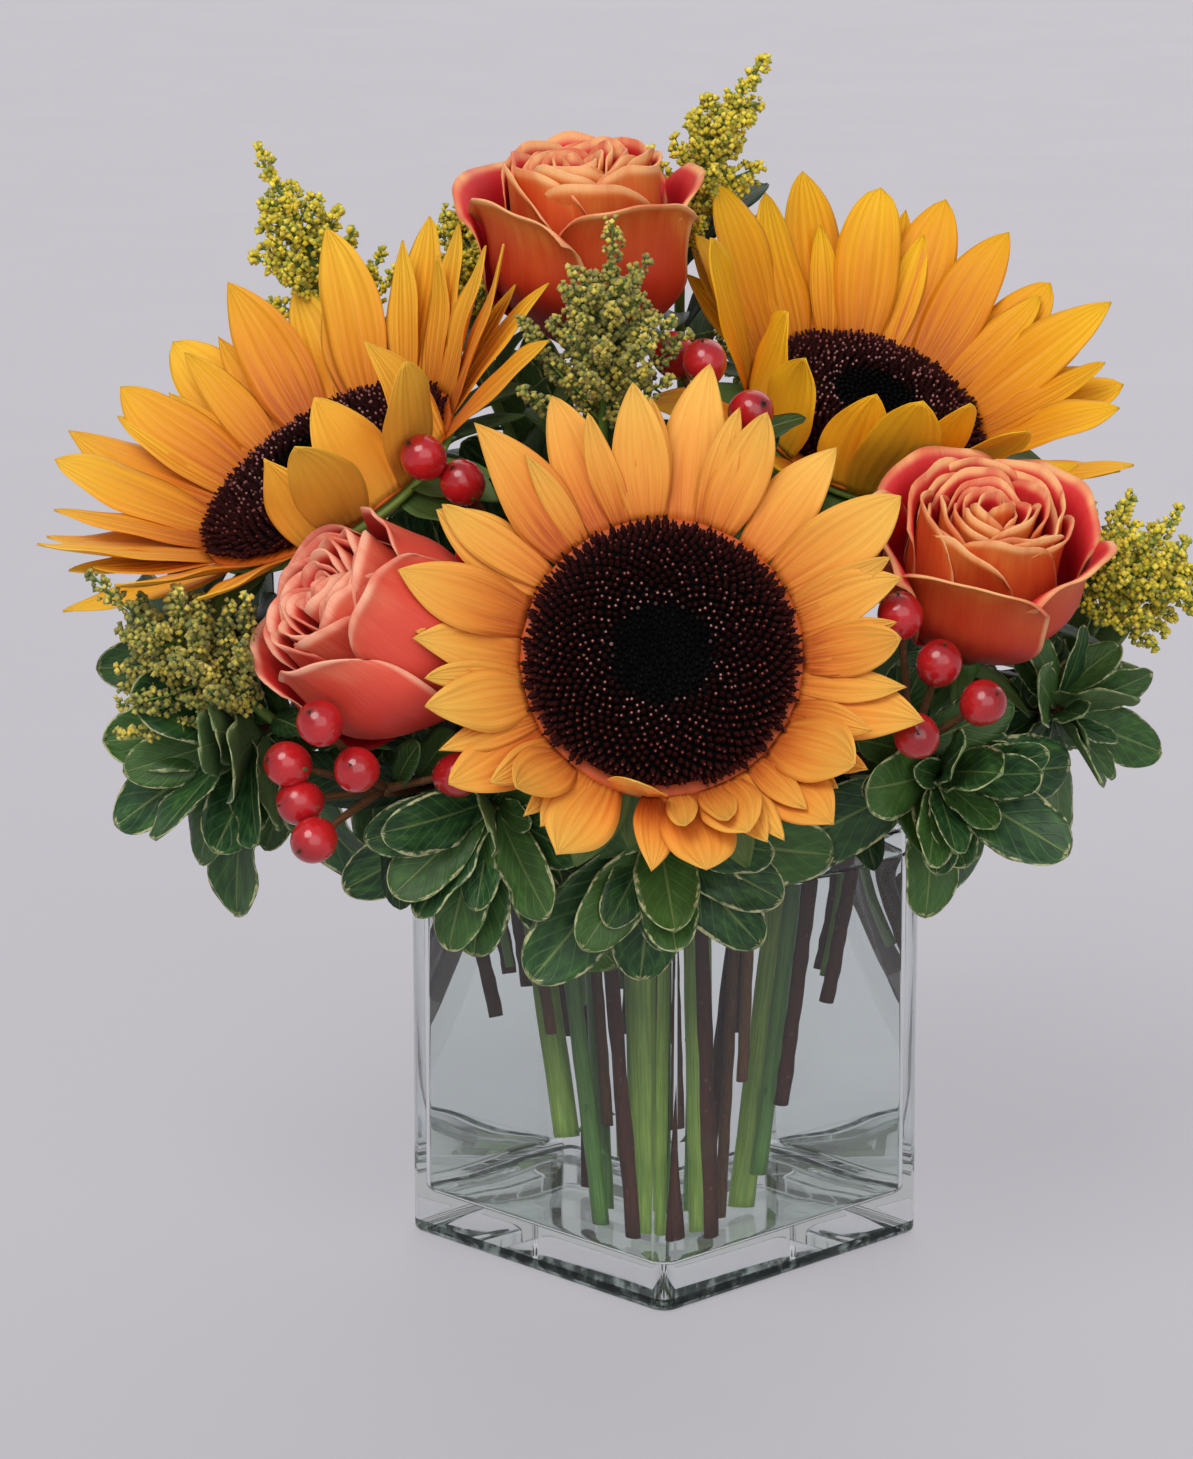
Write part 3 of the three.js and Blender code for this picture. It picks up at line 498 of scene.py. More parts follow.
class Finish:
    """A node material under construction. Where an input is set, three numbers are a colour on a screen."""

    def __init__(self, name, **sockets):
        self.material = bpy.data.materials.new(name)
        self.material.use_nodes = True
        self.tree = self.material.node_tree
        self.shader = self.tree.nodes["Principled BSDF"]
        for socket, value in sockets.items():
            self.feed(self.shader.inputs[socket.replace("_", " ")], value)

    def feed(self, socket, value):
        if isinstance(value, bpy.types.NodeSocket):
            self.tree.links.new(value, socket)
        else:
            socket.default_value = colour(*value) if isinstance(value, tuple) and len(value) == 3 else value

    def node(self, kind, inputs=(), **settings):
        made = self.tree.nodes.new(kind)
        for key, value in settings.items():
            setattr(made, key, value)
        for key, value in dict(inputs).items():
            self.feed(made.inputs[key], value)
        return made

    def math(self, operation, a, b=0, clamp=False):
        return self.node("ShaderNodeMath", {0: a, 1: b}, operation=operation, use_clamp=clamp).outputs[0]

    def add(self, a, b, clamp=False):
        return self.math("ADD", a, b, clamp)

    def mul(self, a, b):
        return self.math("MULTIPLY", a, b)

    def about(self, share, reach):
        """A share from 0 to 1 made to swing about 0."""
        return self.mul(self.math("SUBTRACT", share, 0.5), reach)

    def attribute(self, name, output):
        node = self.node("ShaderNodeAttribute", attribute_name=name, attribute_type="GEOMETRY")
        return node.outputs[output]

    def grain(self):
        return list(self.node("ShaderNodeSeparateXYZ", {0: self.attribute("grain", "Vector")}).outputs)

    def side(self):
        return self.attribute("side", "Fac")

    def over(self, grain, *scales):
        """Places for noise that lies along a leaf or rod, other ones for each."""
        scaled = {i: self.mul(number, scale) for i, (number, scale) in enumerate(zip(grain, scales))}
        return self.node("ShaderNodeCombineXYZ", scaled).outputs[0]

    def places(self):
        return self.node("ShaderNodeTexCoord").outputs["Object"]

    def noise(self, vector, scale, detail=3, roughness=0.55):
        inputs = {"Vector": vector, "Scale": scale, "Detail": detail, "Roughness": roughness}
        return self.node("ShaderNodeTexNoise", inputs).outputs["Fac"]

    def ramp(self, share, *stops):
        """Colours by share. Each stop is a place and three numbers."""
        made = self.node("ShaderNodeValToRGB", {"Fac": share})
        elements = made.color_ramp.elements
        while len(elements) < len(stops):
            elements.new(0.5)
        for element, (place, *tint) in zip(elements, stops):
            element.position = place
            element.color = colour(*tint)
        return made.outputs["Color"]

    def mix(self, share, a, b):
        return self.node("ShaderNodeMix", {"Factor": share, 6: a, 7: b}, data_type="RGBA").outputs[2]

    def span(self, value, low, high, to_low=0, to_high=1):
        inputs = {"Value": value, "From Min": low, "From Max": high, "To Min": to_low, "To Max": to_high}
        return self.node("ShaderNodeMapRange", inputs, clamp=True, interpolation_type="SMOOTHSTEP").outputs[0]

    def done(self, base, roughness, height, distance, strength):
        """The material, with its colour, roughness and bumps."""
        bump = self.node("ShaderNodeBump", {"Height": height, "Distance": distance, "Strength": strength})
        for socket, value in (("Base Color", base), ("Roughness", roughness), ("Normal", bump.outputs[0])):
            self.feed(self.shader.inputs[socket], value)
        return self.material


def ray_petal_finish(name, warm):
    """A sunflower petal: deep at its root, with fine lengthwise veins, and paler on its back, partly its own
    paler underside and partly painted light that brightens backs lying in shade.
    """
    f = Finish(name, Roughness=0.5, Specular_IOR_Level=0.25)
    u, v, draw = grain = f.grain()
    streak = f.noise(f.over(grain, 6, 1.1, 57), 1, 4, 0.6)
    fine = f.noise(f.over(grain, 26, 1.6, 57), 1, 3, 0.6)
    veins = f.math("SINE", f.mul(u, 21))
    share = f.add(f.add(v, f.about(streak, 0.6)), f.about(draw, 0.34), clamp=True)
    # pale is the colour of each back: partly the petal's own paler underside, partly painted light
    pale, *stops = {
        0: ((255, 190, 40), (0, 188, 92, 4), (0.25, 214, 124, 4), (0.55, 228, 150, 5), (1, 240, 182, 12)),
        0.5: (
            (255, 188, 70), (0, 188, 84, 14), (0.22, 214, 120, 22), (0.55, 229, 151, 30), (1, 241, 184, 42),
        ),
        1: ((255, 186, 98), (0, 190, 84, 32), (0.2, 220, 122, 46), (0.5, 235, 155, 62), (1, 244, 186, 82)),
    }[warm]
    lines = f.mul(f.span(veins, 0.55, 1), f.span(v, 0.98, 0.45, 0.08, 0.26))
    tint = f.mix(lines, f.ramp(share, *stops), (218, 128, 20))
    tint = f.mix(f.span(fine, 0.45, 0.75, 0, 0.2), tint, (255, 212, 92))
    # The back is mixed towards pale, most near the root: partly its real paler tone, partly painted light for
    # backs in shade
    base = f.mix(f.side(), tint, f.mix(f.span(v, 0, 0.5, 0.7, 0.55), tint, pale))
    return f.done(base, f.span(streak, 0.2, 0.8, 0.42, 0.6), f.add(f.mul(veins, 0.5), fine), 0.00022, 0.8)


def disc_finish():
    """Florets: near black in the middle, maroon further out, with pale dusty stigmas."""
    f = Finish("sunflower_florets", Roughness=0.7, Specular_IOR_Level=0.04)
    out, v, draw = f.grain()
    body = f.ramp(out, (0, 2, 2, 2), (0.4, 4, 4, 4), (0.46, 34, 13, 13), (1, 46, 17, 16))
    tips = f.ramp(
        out, (0, 8, 8, 8), (0.4, 13, 11, 10), (0.44, 176, 128, 124), (0.75, 134, 76, 72), (1, 88, 38, 34)
    )
    tint = f.mix(f.mul(f.span(v, 0.8, 0.9), f.span(draw, 0.35, 0.85)), body, tips)
    dust = f.noise(f.places(), 900, 2)
    dusty = f.mul(f.span(dust, 0.5, 0.8, 0, 0.15), f.span(out, 0.36, 0.5))
    return f.done(f.mix(dusty, tint, (70, 30, 26)), f.span(dust, 0.2, 0.8, 0.55, 0.85), dust, 0.0003, 0.6)


def rose_finish(name, pink):
    """A rose petal: deep coral outside, peach within, pale along its rim, with faint branching veins. The
    pale rim is partly the petal's own paler edge and partly a painted highlight where the curled edge catches
    the light. The more pink, the less yellow there is in its inner face."""
    f = Finish(name, Roughness=0.5, Specular_IOR_Level=0.25)
    u, v, _ = grain = f.grain()
    streak = f.noise(f.over(grain, 9, 1.6, 41), 1, 4, 0.6)
    cloud = f.noise(f.over(grain, 1.6, 1.8, 41), 1, 2)
    fine = f.noise(f.over(grain, 34, 4, 41), 1, 3, 0.6)
    share = f.add(f.add(v, f.about(cloud, 0.6)), f.about(streak, 0.25), clamp=True)

    def blend(red, rosy):
        return tuple(a + (b - a) * pink for a, b in zip(red, rosy))

    def face(*stops):
        return f.ramp(share, *[(place, *blend(red, rosy)) for place, red, rosy in stops])

    outer = face(
        (0, (132, 8, 20), (136, 12, 18)), (0.35, (182, 14, 32), (186, 24, 30)),
        (0.75, (206, 32, 44), (208, 46, 42)), (1, (214, 60, 56), (220, 80, 64)),
    )
    inner = face(
        (0, (134, 18, 12), (150, 26, 24)), (0.45, (188, 48, 26), (204, 62, 50)),
        (0.8, (206, 84, 36), (216, 80, 60)), (1, (218, 124, 54), (228, 112, 84)),
    )
    # The pale rim: partly the petal's own paler edge, partly a painted highlight along the curled edge
    edges = f.mul(f.span(f.math("ABSOLUTE", u), 0.91, 0.98), f.span(v, 0.3, 0.7))
    rim = f.mul(f.math("MAXIMUM", f.span(v, 0.925, 0.98), edges), f.span(cloud, 0.35, 0.6, 0.3, 0.85))
    tint = f.mix(rim, f.mix(f.side(), inner, outer), blend((242, 184, 124), (246, 184, 152)))
    base = f.mix(f.span(fine, 0.5, 0.8, 0, 0.25), tint, (178, 40, 36))
    return f.done(base, f.span(cloud, 0.2, 0.8, 0.42, 0.58), f.add(fine, streak), 0.00025, 0.5)


def green_finish(name, pale, dark, roughness=0.5, scale=1):
    """A fleshy green stem, with lengthwise fibres and blotches."""
    f = Finish(name, Roughness=roughness)
    fibre = f.noise(f.over(f.grain(), 9, 0.7 * scale, 31), 1, 4, 0.6)
    blotch = f.span(f.noise(f.places(), 55), 0.4, 0.75, 0, 0.45)
    base = f.mix(blotch, f.ramp(fibre, (0.25, *dark), (0.7, *pale)), dark)
    return f.done(base, f.span(fibre, 0.2, 0.8, roughness - 0.08, roughness + 0.12), fibre, 0.0003, 0.6)


def bark_finish(name, pale, dark):
    """A thin woody stem with cracked bark, pale lenticels and lichen-grey patches."""
    f = Finish(name, Roughness=0.75, Specular_IOR_Level=0.2)
    crack = f.noise(f.over(f.grain(), 5, 2.2, 23), 1, 5, 0.65)
    spots = f.node("ShaderNodeTexVoronoi", {"Vector": f.places(), "Scale": 330}).outputs["Distance"]
    tint = f.ramp(crack, (0.3, *dark), (0.55, *pale), (0.8, *dark))
    tint = f.mix(f.span(spots, 0.2, 0.1, 0, 0.4), tint, (130, 96, 66))
    base = f.mix(f.span(f.noise(f.places(), 40, 2), 0.55, 0.8, 0, 0.4), tint, (82, 74, 44))
    height = f.math("SUBTRACT", crack, f.mul(f.span(spots, 0.25, 0.1), 0.4))
    return f.done(base, f.span(crack, 0.2, 0.8, 0.6, 0.85), height, 0.0006, 0.8)


def leaf_finish(name, rim, greens):
    """A leaf: glossy green with pale veins, and dull beneath. rim is how strong its broken cream edge is."""
    f = Finish(name, Roughness=0.4, Specular_IOR_Level=0.3)
    u, v, draw = grain = f.grain()
    side, across, on_leaf = f.side(), f.math("ABSOLUTE", u), f.over(grain, 2.2, 4, 47)
    cloud, jag, slow = f.noise(on_leaf, 1.6), f.noise(on_leaf, 5, 3, 0.6), f.noise(on_leaf, 1.3, 1)
    side_veins = f.span(f.math("SINE", f.math("SUBTRACT", f.mul(v, 52), f.mul(across, 15))), 0.72, 1)
    midrib = f.span(across, 0.07, 0.025)
    green = f.ramp(cloud, *[(place, *tint) for place, tint in zip((0.3, 0.55, 0.8), greens)])
    young = f.mix(f.span(draw, 0.45, 1, 0, 0.42), green, (84, 118, 48))
    veined = f.mix(f.mul(side_veins, 0.2), young, (104, 134, 76))
    veined = f.mix(f.mul(midrib, 0.5), veined, (128, 148, 88))
    wander = f.add(f.about(jag, 0.22), f.about(slow, 0.3))
    end = f.span(f.add(v, f.mul(wander, 0.25)), 0.972, 0.99)
    margin = f.math("MAXIMUM", f.span(f.add(across, wander), 0.9, 0.945), end)
    strength = f.span(f.noise(on_leaf, 3.4, 2), 0.38, 0.58, 0.07 * rim, rim)
    top = f.mix(f.mul(margin, strength), veined, (200, 200, 148))
    base = f.mix(side, top, f.mix(0.55, top, (112, 136, 84)))
    roughness = f.add(f.span(side, 0, 1, 0.34, 0.6), f.mul(cloud, 0.1))
    height = f.add(f.mul(side_veins, -0.35), f.add(f.mul(midrib, -0.8), f.mul(jag, 0.5)))
    return f.done(base, roughness, height, 0.0004, 0.7)


def berry_finish():
    """A hypericum berry: glossy red, mottled, yellower at its foot and dark at its tip."""
    f = Finish("berry_skin", Roughness=0.22, Coat_Weight=0.35, Coat_Roughness=0.12)
    _, v, draw = f.grain()
    mottle, speck = f.noise(f.places(), 260), f.noise(f.places(), 1100, 2)
    tint = f.ramp(
        f.add(v, f.about(mottle, 0.3)),
        (0, 150, 60, 30), (0.14, 172, 34, 30), (0.6, 190, 28, 34), (0.93, 146, 16, 24), (1, 50, 14, 12),
    )
    tint = f.mix(f.span(draw, 0.2, 1, 0, 0.3), tint, (120, 14, 22))
    base = f.mix(f.span(speck, 0.6, 0.8, 0, 0.35), tint, (214, 84, 66))
    return f.done(base, f.span(mottle, 0.3, 0.8, 0.16, 0.34), speck, 0.00008, 0.4)


def goldenrod_finish(name, sunny):
    """Goldenrod florets: green at the foot of each, yellow at its tip, no two alike. There are two copies,
    with painted
    light and with painted shade: the lit one has yellow further down each floret, brighter tips and few green
    patches."""
    f = Finish(name, Roughness=0.8, Sheen_Weight=0.2)
    _, v, draw = f.grain()
    fuzz_and_painted_glints, patch = f.noise(f.places(), 1500, 2), f.noise(f.places(), 130, 2)
    foot = f.ramp(draw, (0, 40, 64, 20), (1, 96, 118, 32))
    stops = [
        [(0, 74, 96, 30), (0.35, 164, 156, 40), (0.7, 226, 200, 52), (1, 250, 228, 100)],
        [(0, 130, 142, 34), (0.35, 208, 192, 34), (0.7, 240, 212, 40), (1, 252, 230, 80)],
    ][sunny]
    # Painted shade turns the shaded copy's tips buff and greener in patches; with painted light the yellow
    # reaches further down
    tip = f.mix(0.22 - 0.22 * sunny, f.ramp(draw, *stops), (206, 172, 96))
    tip = f.mix(f.span(patch, 0.4, 0.65, 0.55 - 0.4 * sunny, 0), tip, (90, 108, 40))
    tint = f.mix(f.span(v, 0.25 - 0.15 * sunny, 0.8 - 0.25 * sunny), foot, tip)
    # Pale yellow flecks over the florets are painted glints; the same fine noise gives the fuzz its roughness
    # and bumps
    base = f.mix(f.span(fuzz_and_painted_glints, 0.5, 0.8, 0, 0.3), tint, (228, 210, 104))
    return f.done(base, f.span(fuzz_and_painted_glints, 0.2, 0.8, 0.7, 0.9), fuzz_and_painted_glints, 0.0003, 0.6)


def clear_finish(name, index, tint, wave_scale, wave_depth, dark=None):
    """A clear, barely uneven solid or liquid that lets the lamps through to what stands in it. Given a dark
    colour, it is for the glass's edges: that near-black comes and goes in the glass's own green tint, a
    painted dark reflection."""
    f = Finish(name, Roughness=0, Transmission_Weight=1, IOR=index, Specular_Tint=(0.45, 0.45, 0.45, 1))
    # On the edges, noise mixes painted near-black into the tint: painted dark reflections
    base = f.mix(f.span(f.noise(f.places(), 160, 4, 0.7), 0.46, 0.66), dark, tint) if dark else tint
    roughness = f.span(f.noise(f.places(), 70), 0.55, 0.9, 0, 0.03)
    f.done(base, roughness, f.noise(f.places(), wave_scale, 1), wave_depth, 0.2)
    through = f.node("ShaderNodeBsdfTransparent", {"Color": tint}).outputs[0]
    is_shadow = f.node("ShaderNodeLightPath").outputs["Is Shadow Ray"]
    both = f.node("ShaderNodeMixShader", {0: is_shadow, 1: f.shader.outputs[0], 2: through}).outputs[0]
    f.tree.links.new(both, f.tree.nodes["Material Output"].inputs["Surface"])
    return f.material


def floor_finish():
    f = Finish(
        "pale_floor", Roughness=0.6, Specular_IOR_Level=0.2,
        Emission_Color=(206, 203, 210), Emission_Strength=0.52,
    )
    mottle = f.noise(f.places(), 9, 4)
    f.feed(f.shader.inputs["Base Color"], f.ramp(mottle, (0.3, 120, 118, 122), (0.7, 123, 121, 125)))
    f.feed(f.shader.inputs["Roughness"], f.span(mottle, 0.2, 0.8, 0.6, 0.75))
    return f.material


LEAF = leaf_finish("pittosporum_leaf", 0.88, [(23, 50, 29), (43, 80, 40), (79, 117, 55)])
BERRY_LEAF = leaf_finish("hypericum_leaf", 0, [(14, 34, 18), (26, 54, 26), (44, 78, 34)])
BERRY = berry_finish()
FLORET = disc_finish()
# The goldenrod floret colours in two copies: one with painted shade, one with painted light
GOLD, PAINTED_LIT_GOLD = goldenrod_finish("goldenrod_floret", 0), goldenrod_finish("goldenrod_sunny_floret", 1)
SUN_STEM = green_finish("sunflower_green", (158, 184, 84), (92, 128, 40))
ROSE_STEM = green_finish("rose_green", (96, 140, 56), (48, 84, 32), 0.45)
GOLD_STEM = green_finish("goldenrod_green", (116, 150, 60), (70, 100, 36))
CALYX = green_finish("calyx_green", (96, 122, 52), (56, 82, 34), 0.55, 3)
BARK = bark_finish("pittosporum_bark", (74, 36, 22), (28, 12, 9))
BERRY_STEM = bark_finish("hypericum_bark", (104, 70, 42), (58, 38, 26))


# Leaves, and keeping them clear of their neighbours


def tree_from(places, faces):
    return BVHTree.FromPolygons([tuple(place) for place in places], [tuple(face) for face in faces])


def tree_of_node(node):
    return tree_from([v.co / MM for v in node.data.vertices], [face.vertices for face in node.data.polygons])


OTHERS = {name: tree_of_node(node) for name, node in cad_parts.items() if name != "water"}
ADDED = []


def tree_of(leaf, outline, start):
    places = leaf.point(*np.meshgrid([-1, 0, 1], np.linspace(start, 1, 7)), outline).reshape(-1, 3)
    return places, tree_from(places, grid_quads(7, 3).tolist())


def is_free(leaf, outline, own):
    """True where a leaf crosses no other node's solid, and no outer part of a leaf added before it."""
    places, tree = tree_of(leaf, outline, FREE_FROM)
    if (places < BOX[0] + LEAF_GAP).any() or (places > BOX[1] - LEAF_GAP).any():
        return False
    trees = [other for name, other in OTHERS.items() if name != own] + ADDED
    return not any(tree.overlap(other) for other in trees)


def take(leaf, outline):
    ADDED.append(tree_of(leaf, outline, TAKEN_FROM)[1])


def blade_outline(peak, blunt=2.0):
    """Half-width of a pittosporum leaf: widest past its middle, round at its tip."""

    def outline(v):
        rise = np.sin(np.pi / 2 * np.clip(v / peak, 0, 1)) ** 0.85 + 0.06 * (1 - v)
        fall = np.clip(1 - np.clip((v - peak) / (1 - peak), 0, 1) ** blunt, 0, 1) ** 0.5
        return np.maximum(np.minimum(rise, 1) * fall, 0.015)

    return outline


def add_fine_leaf(shape, leaf, rng, rows=17, columns=11, look=0):
    """A leaf folded a little along its midrib, its margins waved."""
    U, V = np.meshgrid(np.linspace(-1, 1, columns), 1 - (1 - np.linspace(0, 1, rows)) ** 1.7)
    phase = rng.uniform(0, CIRCLE, 2)
    fold = rng.uniform(0.03, 0.13) * leaf.width * np.abs(U) ** 1.5
    wave = 0.04 * leaf.width * np.sin(CIRCLE * V * 2.1 + phase[0]) * np.abs(U) ** 2 * np.sign(U)
    wave = wave + 0.035 * leaf.width * np.sin(CIRCLE * V * 2.7 + phase[1]) * U**2
    droop = -rng.uniform(0, 0.06) * leaf.length * V**2
    lift = (fold + wave) * np.sin(np.pi * np.clip(V, 0.05, 0.95)) ** 0.4 + droop * 0.6
    places = leaf.point(U, V, blade_outline(rng.uniform(0.56, 0.68), rng.uniform(1.7, 2.3)), lift=lift)
    add_sheet(shape, places, U, V, rng.random(), 0.65, 0.35, look)


def grow(shape, leaf, outline, own, rng, rows, columns, look=0):
    """Adds a leaf if nothing is in its way, and says whether it did."""
    if not is_free(leaf, outline, own):
        return False
    add_fine_leaf(shape, leaf, rng, rows, columns, look)
    take(leaf, outline)
    return True


def add_bract(shape, leaf, rng, rows, columns, thickness, channel, wave=0):
    """A narrow sepal or bract, channelled along its middle."""
    draw = rng.random()
    phase = rng.uniform(0, 6) if wave else 0
    U, V = np.meshgrid(np.linspace(-1, 1, columns), np.linspace(0, 1, rows))
    lift = channel * leaf.width * U**2 * np.sin(np.pi * np.clip(V, 0.02, 0.98)) ** 0.5
    lift = lift + wave * leaf.width * np.sin(CIRCLE * V * 1.5 + phase) * U**2
    places = leaf.point(U, V, lambda s: np.maximum(bract_outline(s), 0.05), lift=lift)
    add_sheet(shape, places, U, V, draw, thickness, 0.4, 1)


# Sunflowers


def add_ray_petal(shape, leaf, rng, blunt):
    """One fine petal over the form that its solid has: channelled, ridged, wavy at its edges."""
    draw = rng.random()
    U, V = np.meshgrid(np.linspace(-1, 1, 11), np.linspace(0, 1, 20) ** 0.9)
    peak = rng.uniform(0.36, 0.5)
    taper, tip = rng.uniform(1.5, 2.3) + 0.6 * blunt, rng.uniform(0.75, 1.1) - 0.22 * blunt

    def outline(s):
        rise = 0.6 + 0.4 * np.sin(np.pi / 2 * np.clip(s / peak, 0, 1))
        fall = (1 - np.clip((s - peak) / (1 - peak), 0, 1) ** taper) ** tip
        return np.maximum(rise * fall, 0.012)

    phase = rng.uniform(0, CIRCLE, 3)
    across = U * outline(V)
    channel = rng.uniform(-0.03, 0.1) * leaf.width * across**2 * np.sin(np.pi * V)
    ridge = 0.26 * np.cos(U * math.pi * 2.5) * np.sin(np.pi * V) ** 0.5
    wave = 0.06 * leaf.width * np.sin(CIRCLE * V * 1.6 + phase[0]) * across**2 * V
    twist = 0.1 * leaf.width * np.sin(phase[1]) * across * V
    curl = rng.uniform(-0.06, 0.08) * leaf.length * np.clip(V - 0.5, 0, 1) ** 2 / 0.25
    sway = 0.05 * leaf.length * np.sin(phase[2]) * np.sin(np.pi * V * 0.9) * V
    places = leaf.point(U, V, outline, lift=channel + ridge + wave + twist + curl, sway=sway)
    add_sheet(shape, places, U, V, draw, 0.62, 0.25)


def degrees_off(angle, nearest):
    off = (angle - nearest) / DEGREE
    return off - 360 * np.floor(off / 360 + 0.5)


def build_sunflower(flower):
    name, centre, aim, disc = flower.name, flower.place, flower.aim, flower.disc
    axes = axes_along(aim)
    near = axes.T @ VIEWER
    nearest = math.atan2(near[1], near[0])
    outer = disc + RING_WIDTH
    blunt = 0.7 - 0.7 * flower.warm
    rng, draw = np.random.default_rng(flower.seed), draws(flower.seed)
    petals = Shape()

    def lean(azimuth, drop):
        return flower.lean - drop + flower.near_lean * math.cos(azimuth - nearest)

    for i in range(PETALS):
        is_front = i % 2 == 0
        azimuth = CIRCLE * (i + 0.3 * (draw() - 0.5)) / PETALS
        full = flower.length * (0.88 + 0.24 * draw())
        width = full * (flower.wide - 0.03 + 0.06 * draw())
        is_folded = is_front and flower.folds[0] < degrees_off(azimuth, nearest) < flower.folds[1]
        tilt = (88 if is_folded else lean(azimuth, 0 if is_front else 12)) + 6 * (draw() - 0.5)
        bend = 8 * DEGREE * (draw() - 0.5)
        radial = radial_of(axes, azimuth)
        base = centre + aim * (RING_LOW + (1.2 if is_front else 0.8)) + radial * (outer - 0.9)
        leaf = built_leaf(
            f"{name}_petals", ray_outline, 3, [1, 0.85, 0.7, 0.55], [0, 12, -12, 24, -24, 38, -38],
            base, radial, aim, tilt, 0.7 * full if is_folded else full, width, bend,
        )
        if leaf:
            add_ray_petal(petals, leaf, rng, 0 if is_folded else blunt)
    # Narrower petals in the gaps, in layers between the two
    for i in range(2 * PETALS):
        azimuth = CIRCLE * (i / 2 + 0.5 + rng.uniform(-0.2, 0.2)) / PETALS
        tilt = lean(azimuth, 6) + rng.uniform(-8, 8)
        size = flower.length * rng.uniform(0.72, 0.98)
        radial = radial_of(axes, azimuth)
        base = centre + aim * (RING_LOW + 1) + radial * (outer - 1)
        leaf = Leaf(base, radial, aim, tilt, size, size * rng.uniform(0.26, 0.34), rng.uniform(-0.1, 0.1))
        is_edge_on = near[2] < 0.8 and math.cos(azimuth - nearest) > 0.2
        if rng.random() < 0.7 and not is_edge_on and is_free(leaf, ray_outline, f"{name}_petals"):
            add_ray_petal(petals, leaf, rng, blunt)
    # The ring that the petals spring from
    sides = 44
    section = np.array([
        (0.75 * disc, 1.5), (0.8 * disc, 1.3), (outer - 1.5, 0.7), (outer - 0.2, 1.2), (outer - 0.4, 2),
        (outer - 1.5, 2.2), (0.8 * disc, 1.9),
    ])
    ring = rings_of(*section.T[..., None], sides)
    quads = grid_quads(len(section) + 1, sides, around=True) % len(ring)
    petals.add(ring @ axes.T + centre, (0, 0.05, 0.5), quads)
    petal_finish = ray_petal_finish(f"{name}_petal", flower.warm)
    petals.finish(f"{name}_petals_fine", [petal_finish], f"{name}_petals", "sunflower_petal")
    build_disc(flower, axes, rng, nearest)
    build_sunflower_green(flower, axes, rng)


def build_disc(flower, axes, rng, nearest):
    """The disc: florets in two sets of spirals on a dome whose middle is sunken, and a fringe at its edge."""
    name, centre, disc = flower.name, flower.place, flower.disc
    low = RING_HIGH + GAP
    count, fringe = 1050, 170

    def dome(share):
        return low + 1.4 + 5.2 * (1 - share**4) - 3 * np.exp(-((share / 0.35) ** 2))

    shape = Shape()
    profile = [(0, GAP), (0.7 * disc, GAP), (0.7 * disc, low), (disc - 0.6, low)]
    profile += [(disc * s, dome(s)) for s in (0.985, 0.95, 0.9, 0.8, 0.7, 0.6, 0.5, 0.4, 0.3, 0.2, 0.1, 0)]
    add_turned(shape, profile, axes, centre, 48, 0.2, grain_of=lambda radius: 0.43 * radius / disc)
    place = np.arange(count) + 0.5
    share = np.concatenate([np.sqrt(place / count), rng.uniform(0.985, 1, fringe)])
    angle = np.concatenate([place * GOLDEN_ANGLE, CIRCLE * (np.arange(fringe) + rng.random(fringe)) / fringe])
    radius = disc * share * 0.95
    radius[count:] = disc * rng.uniform(0.945, 0.995, fringe)
    off = degrees_off(angle, nearest)
    is_under = (off > flower.folds[0] - 7) & (off < flower.folds[1] + 7) & (share > 0.9)
    radius[is_under] = disc * np.minimum(share[is_under], 0.98) * 0.95
    steep = (dome(share + 0.01) - dome(share - 0.01)) / (0.02 * disc)
    local = rows_of(radius * np.cos(angle), radius * np.sin(angle), dome(share) - 0.5)
    local[count:, 2] -= rng.uniform(0.2, 1.2, fringe)
    fan = np.clip((share - 0.82) / 0.18, 0, 1) ** 1.5 * 1.1 - 0.3 * np.exp(-(((share - 0.44) / 0.08) ** 2))
    fan[count:] = rng.uniform(1, 1.8, fringe)
    fan[is_under] = 0.5
    lean = np.clip(-steep, 0, 1.2) * 0.6 + fan
    ways = rows_of(lean * np.cos(angle), lean * np.sin(angle), 1)
    ways += rng.normal(0, 0.09, ways.shape)
    opened = np.clip((share - 0.4) / 0.1, 0, 1)
    tall = 1.5 + 1.5 * opened + rng.uniform(-0.3, 0.6, len(share)) * (0.4 + opened)
    sizes = rows_of(0.72 + 0.1 * opened, 0.72 + 0.1 * opened, tall)
    shut = bead(6, [(0, -0.1), (0.85, 0), (1, 0.55), (0.7, 0.88), (0, 1)])
    star = bead(5, [(0, -0.1), (0.8, 0.1), (1.05, 0.7), (0.4, 0.86), (0.42, 1.06), (0, 1.15)])
    for kind, pick in ((shut, share <= 0.42), (star, share > 0.42)):
        add_beads(
            shape, kind, local[pick] @ axes.T + centre, ways[pick] @ axes.T, sizes[pick],
            rng.random(pick.sum()), share[pick],
        )
    shape.finish(f"{name}_disc_fine", [FLORET], f"{name}_disc", "sunflower_disc")


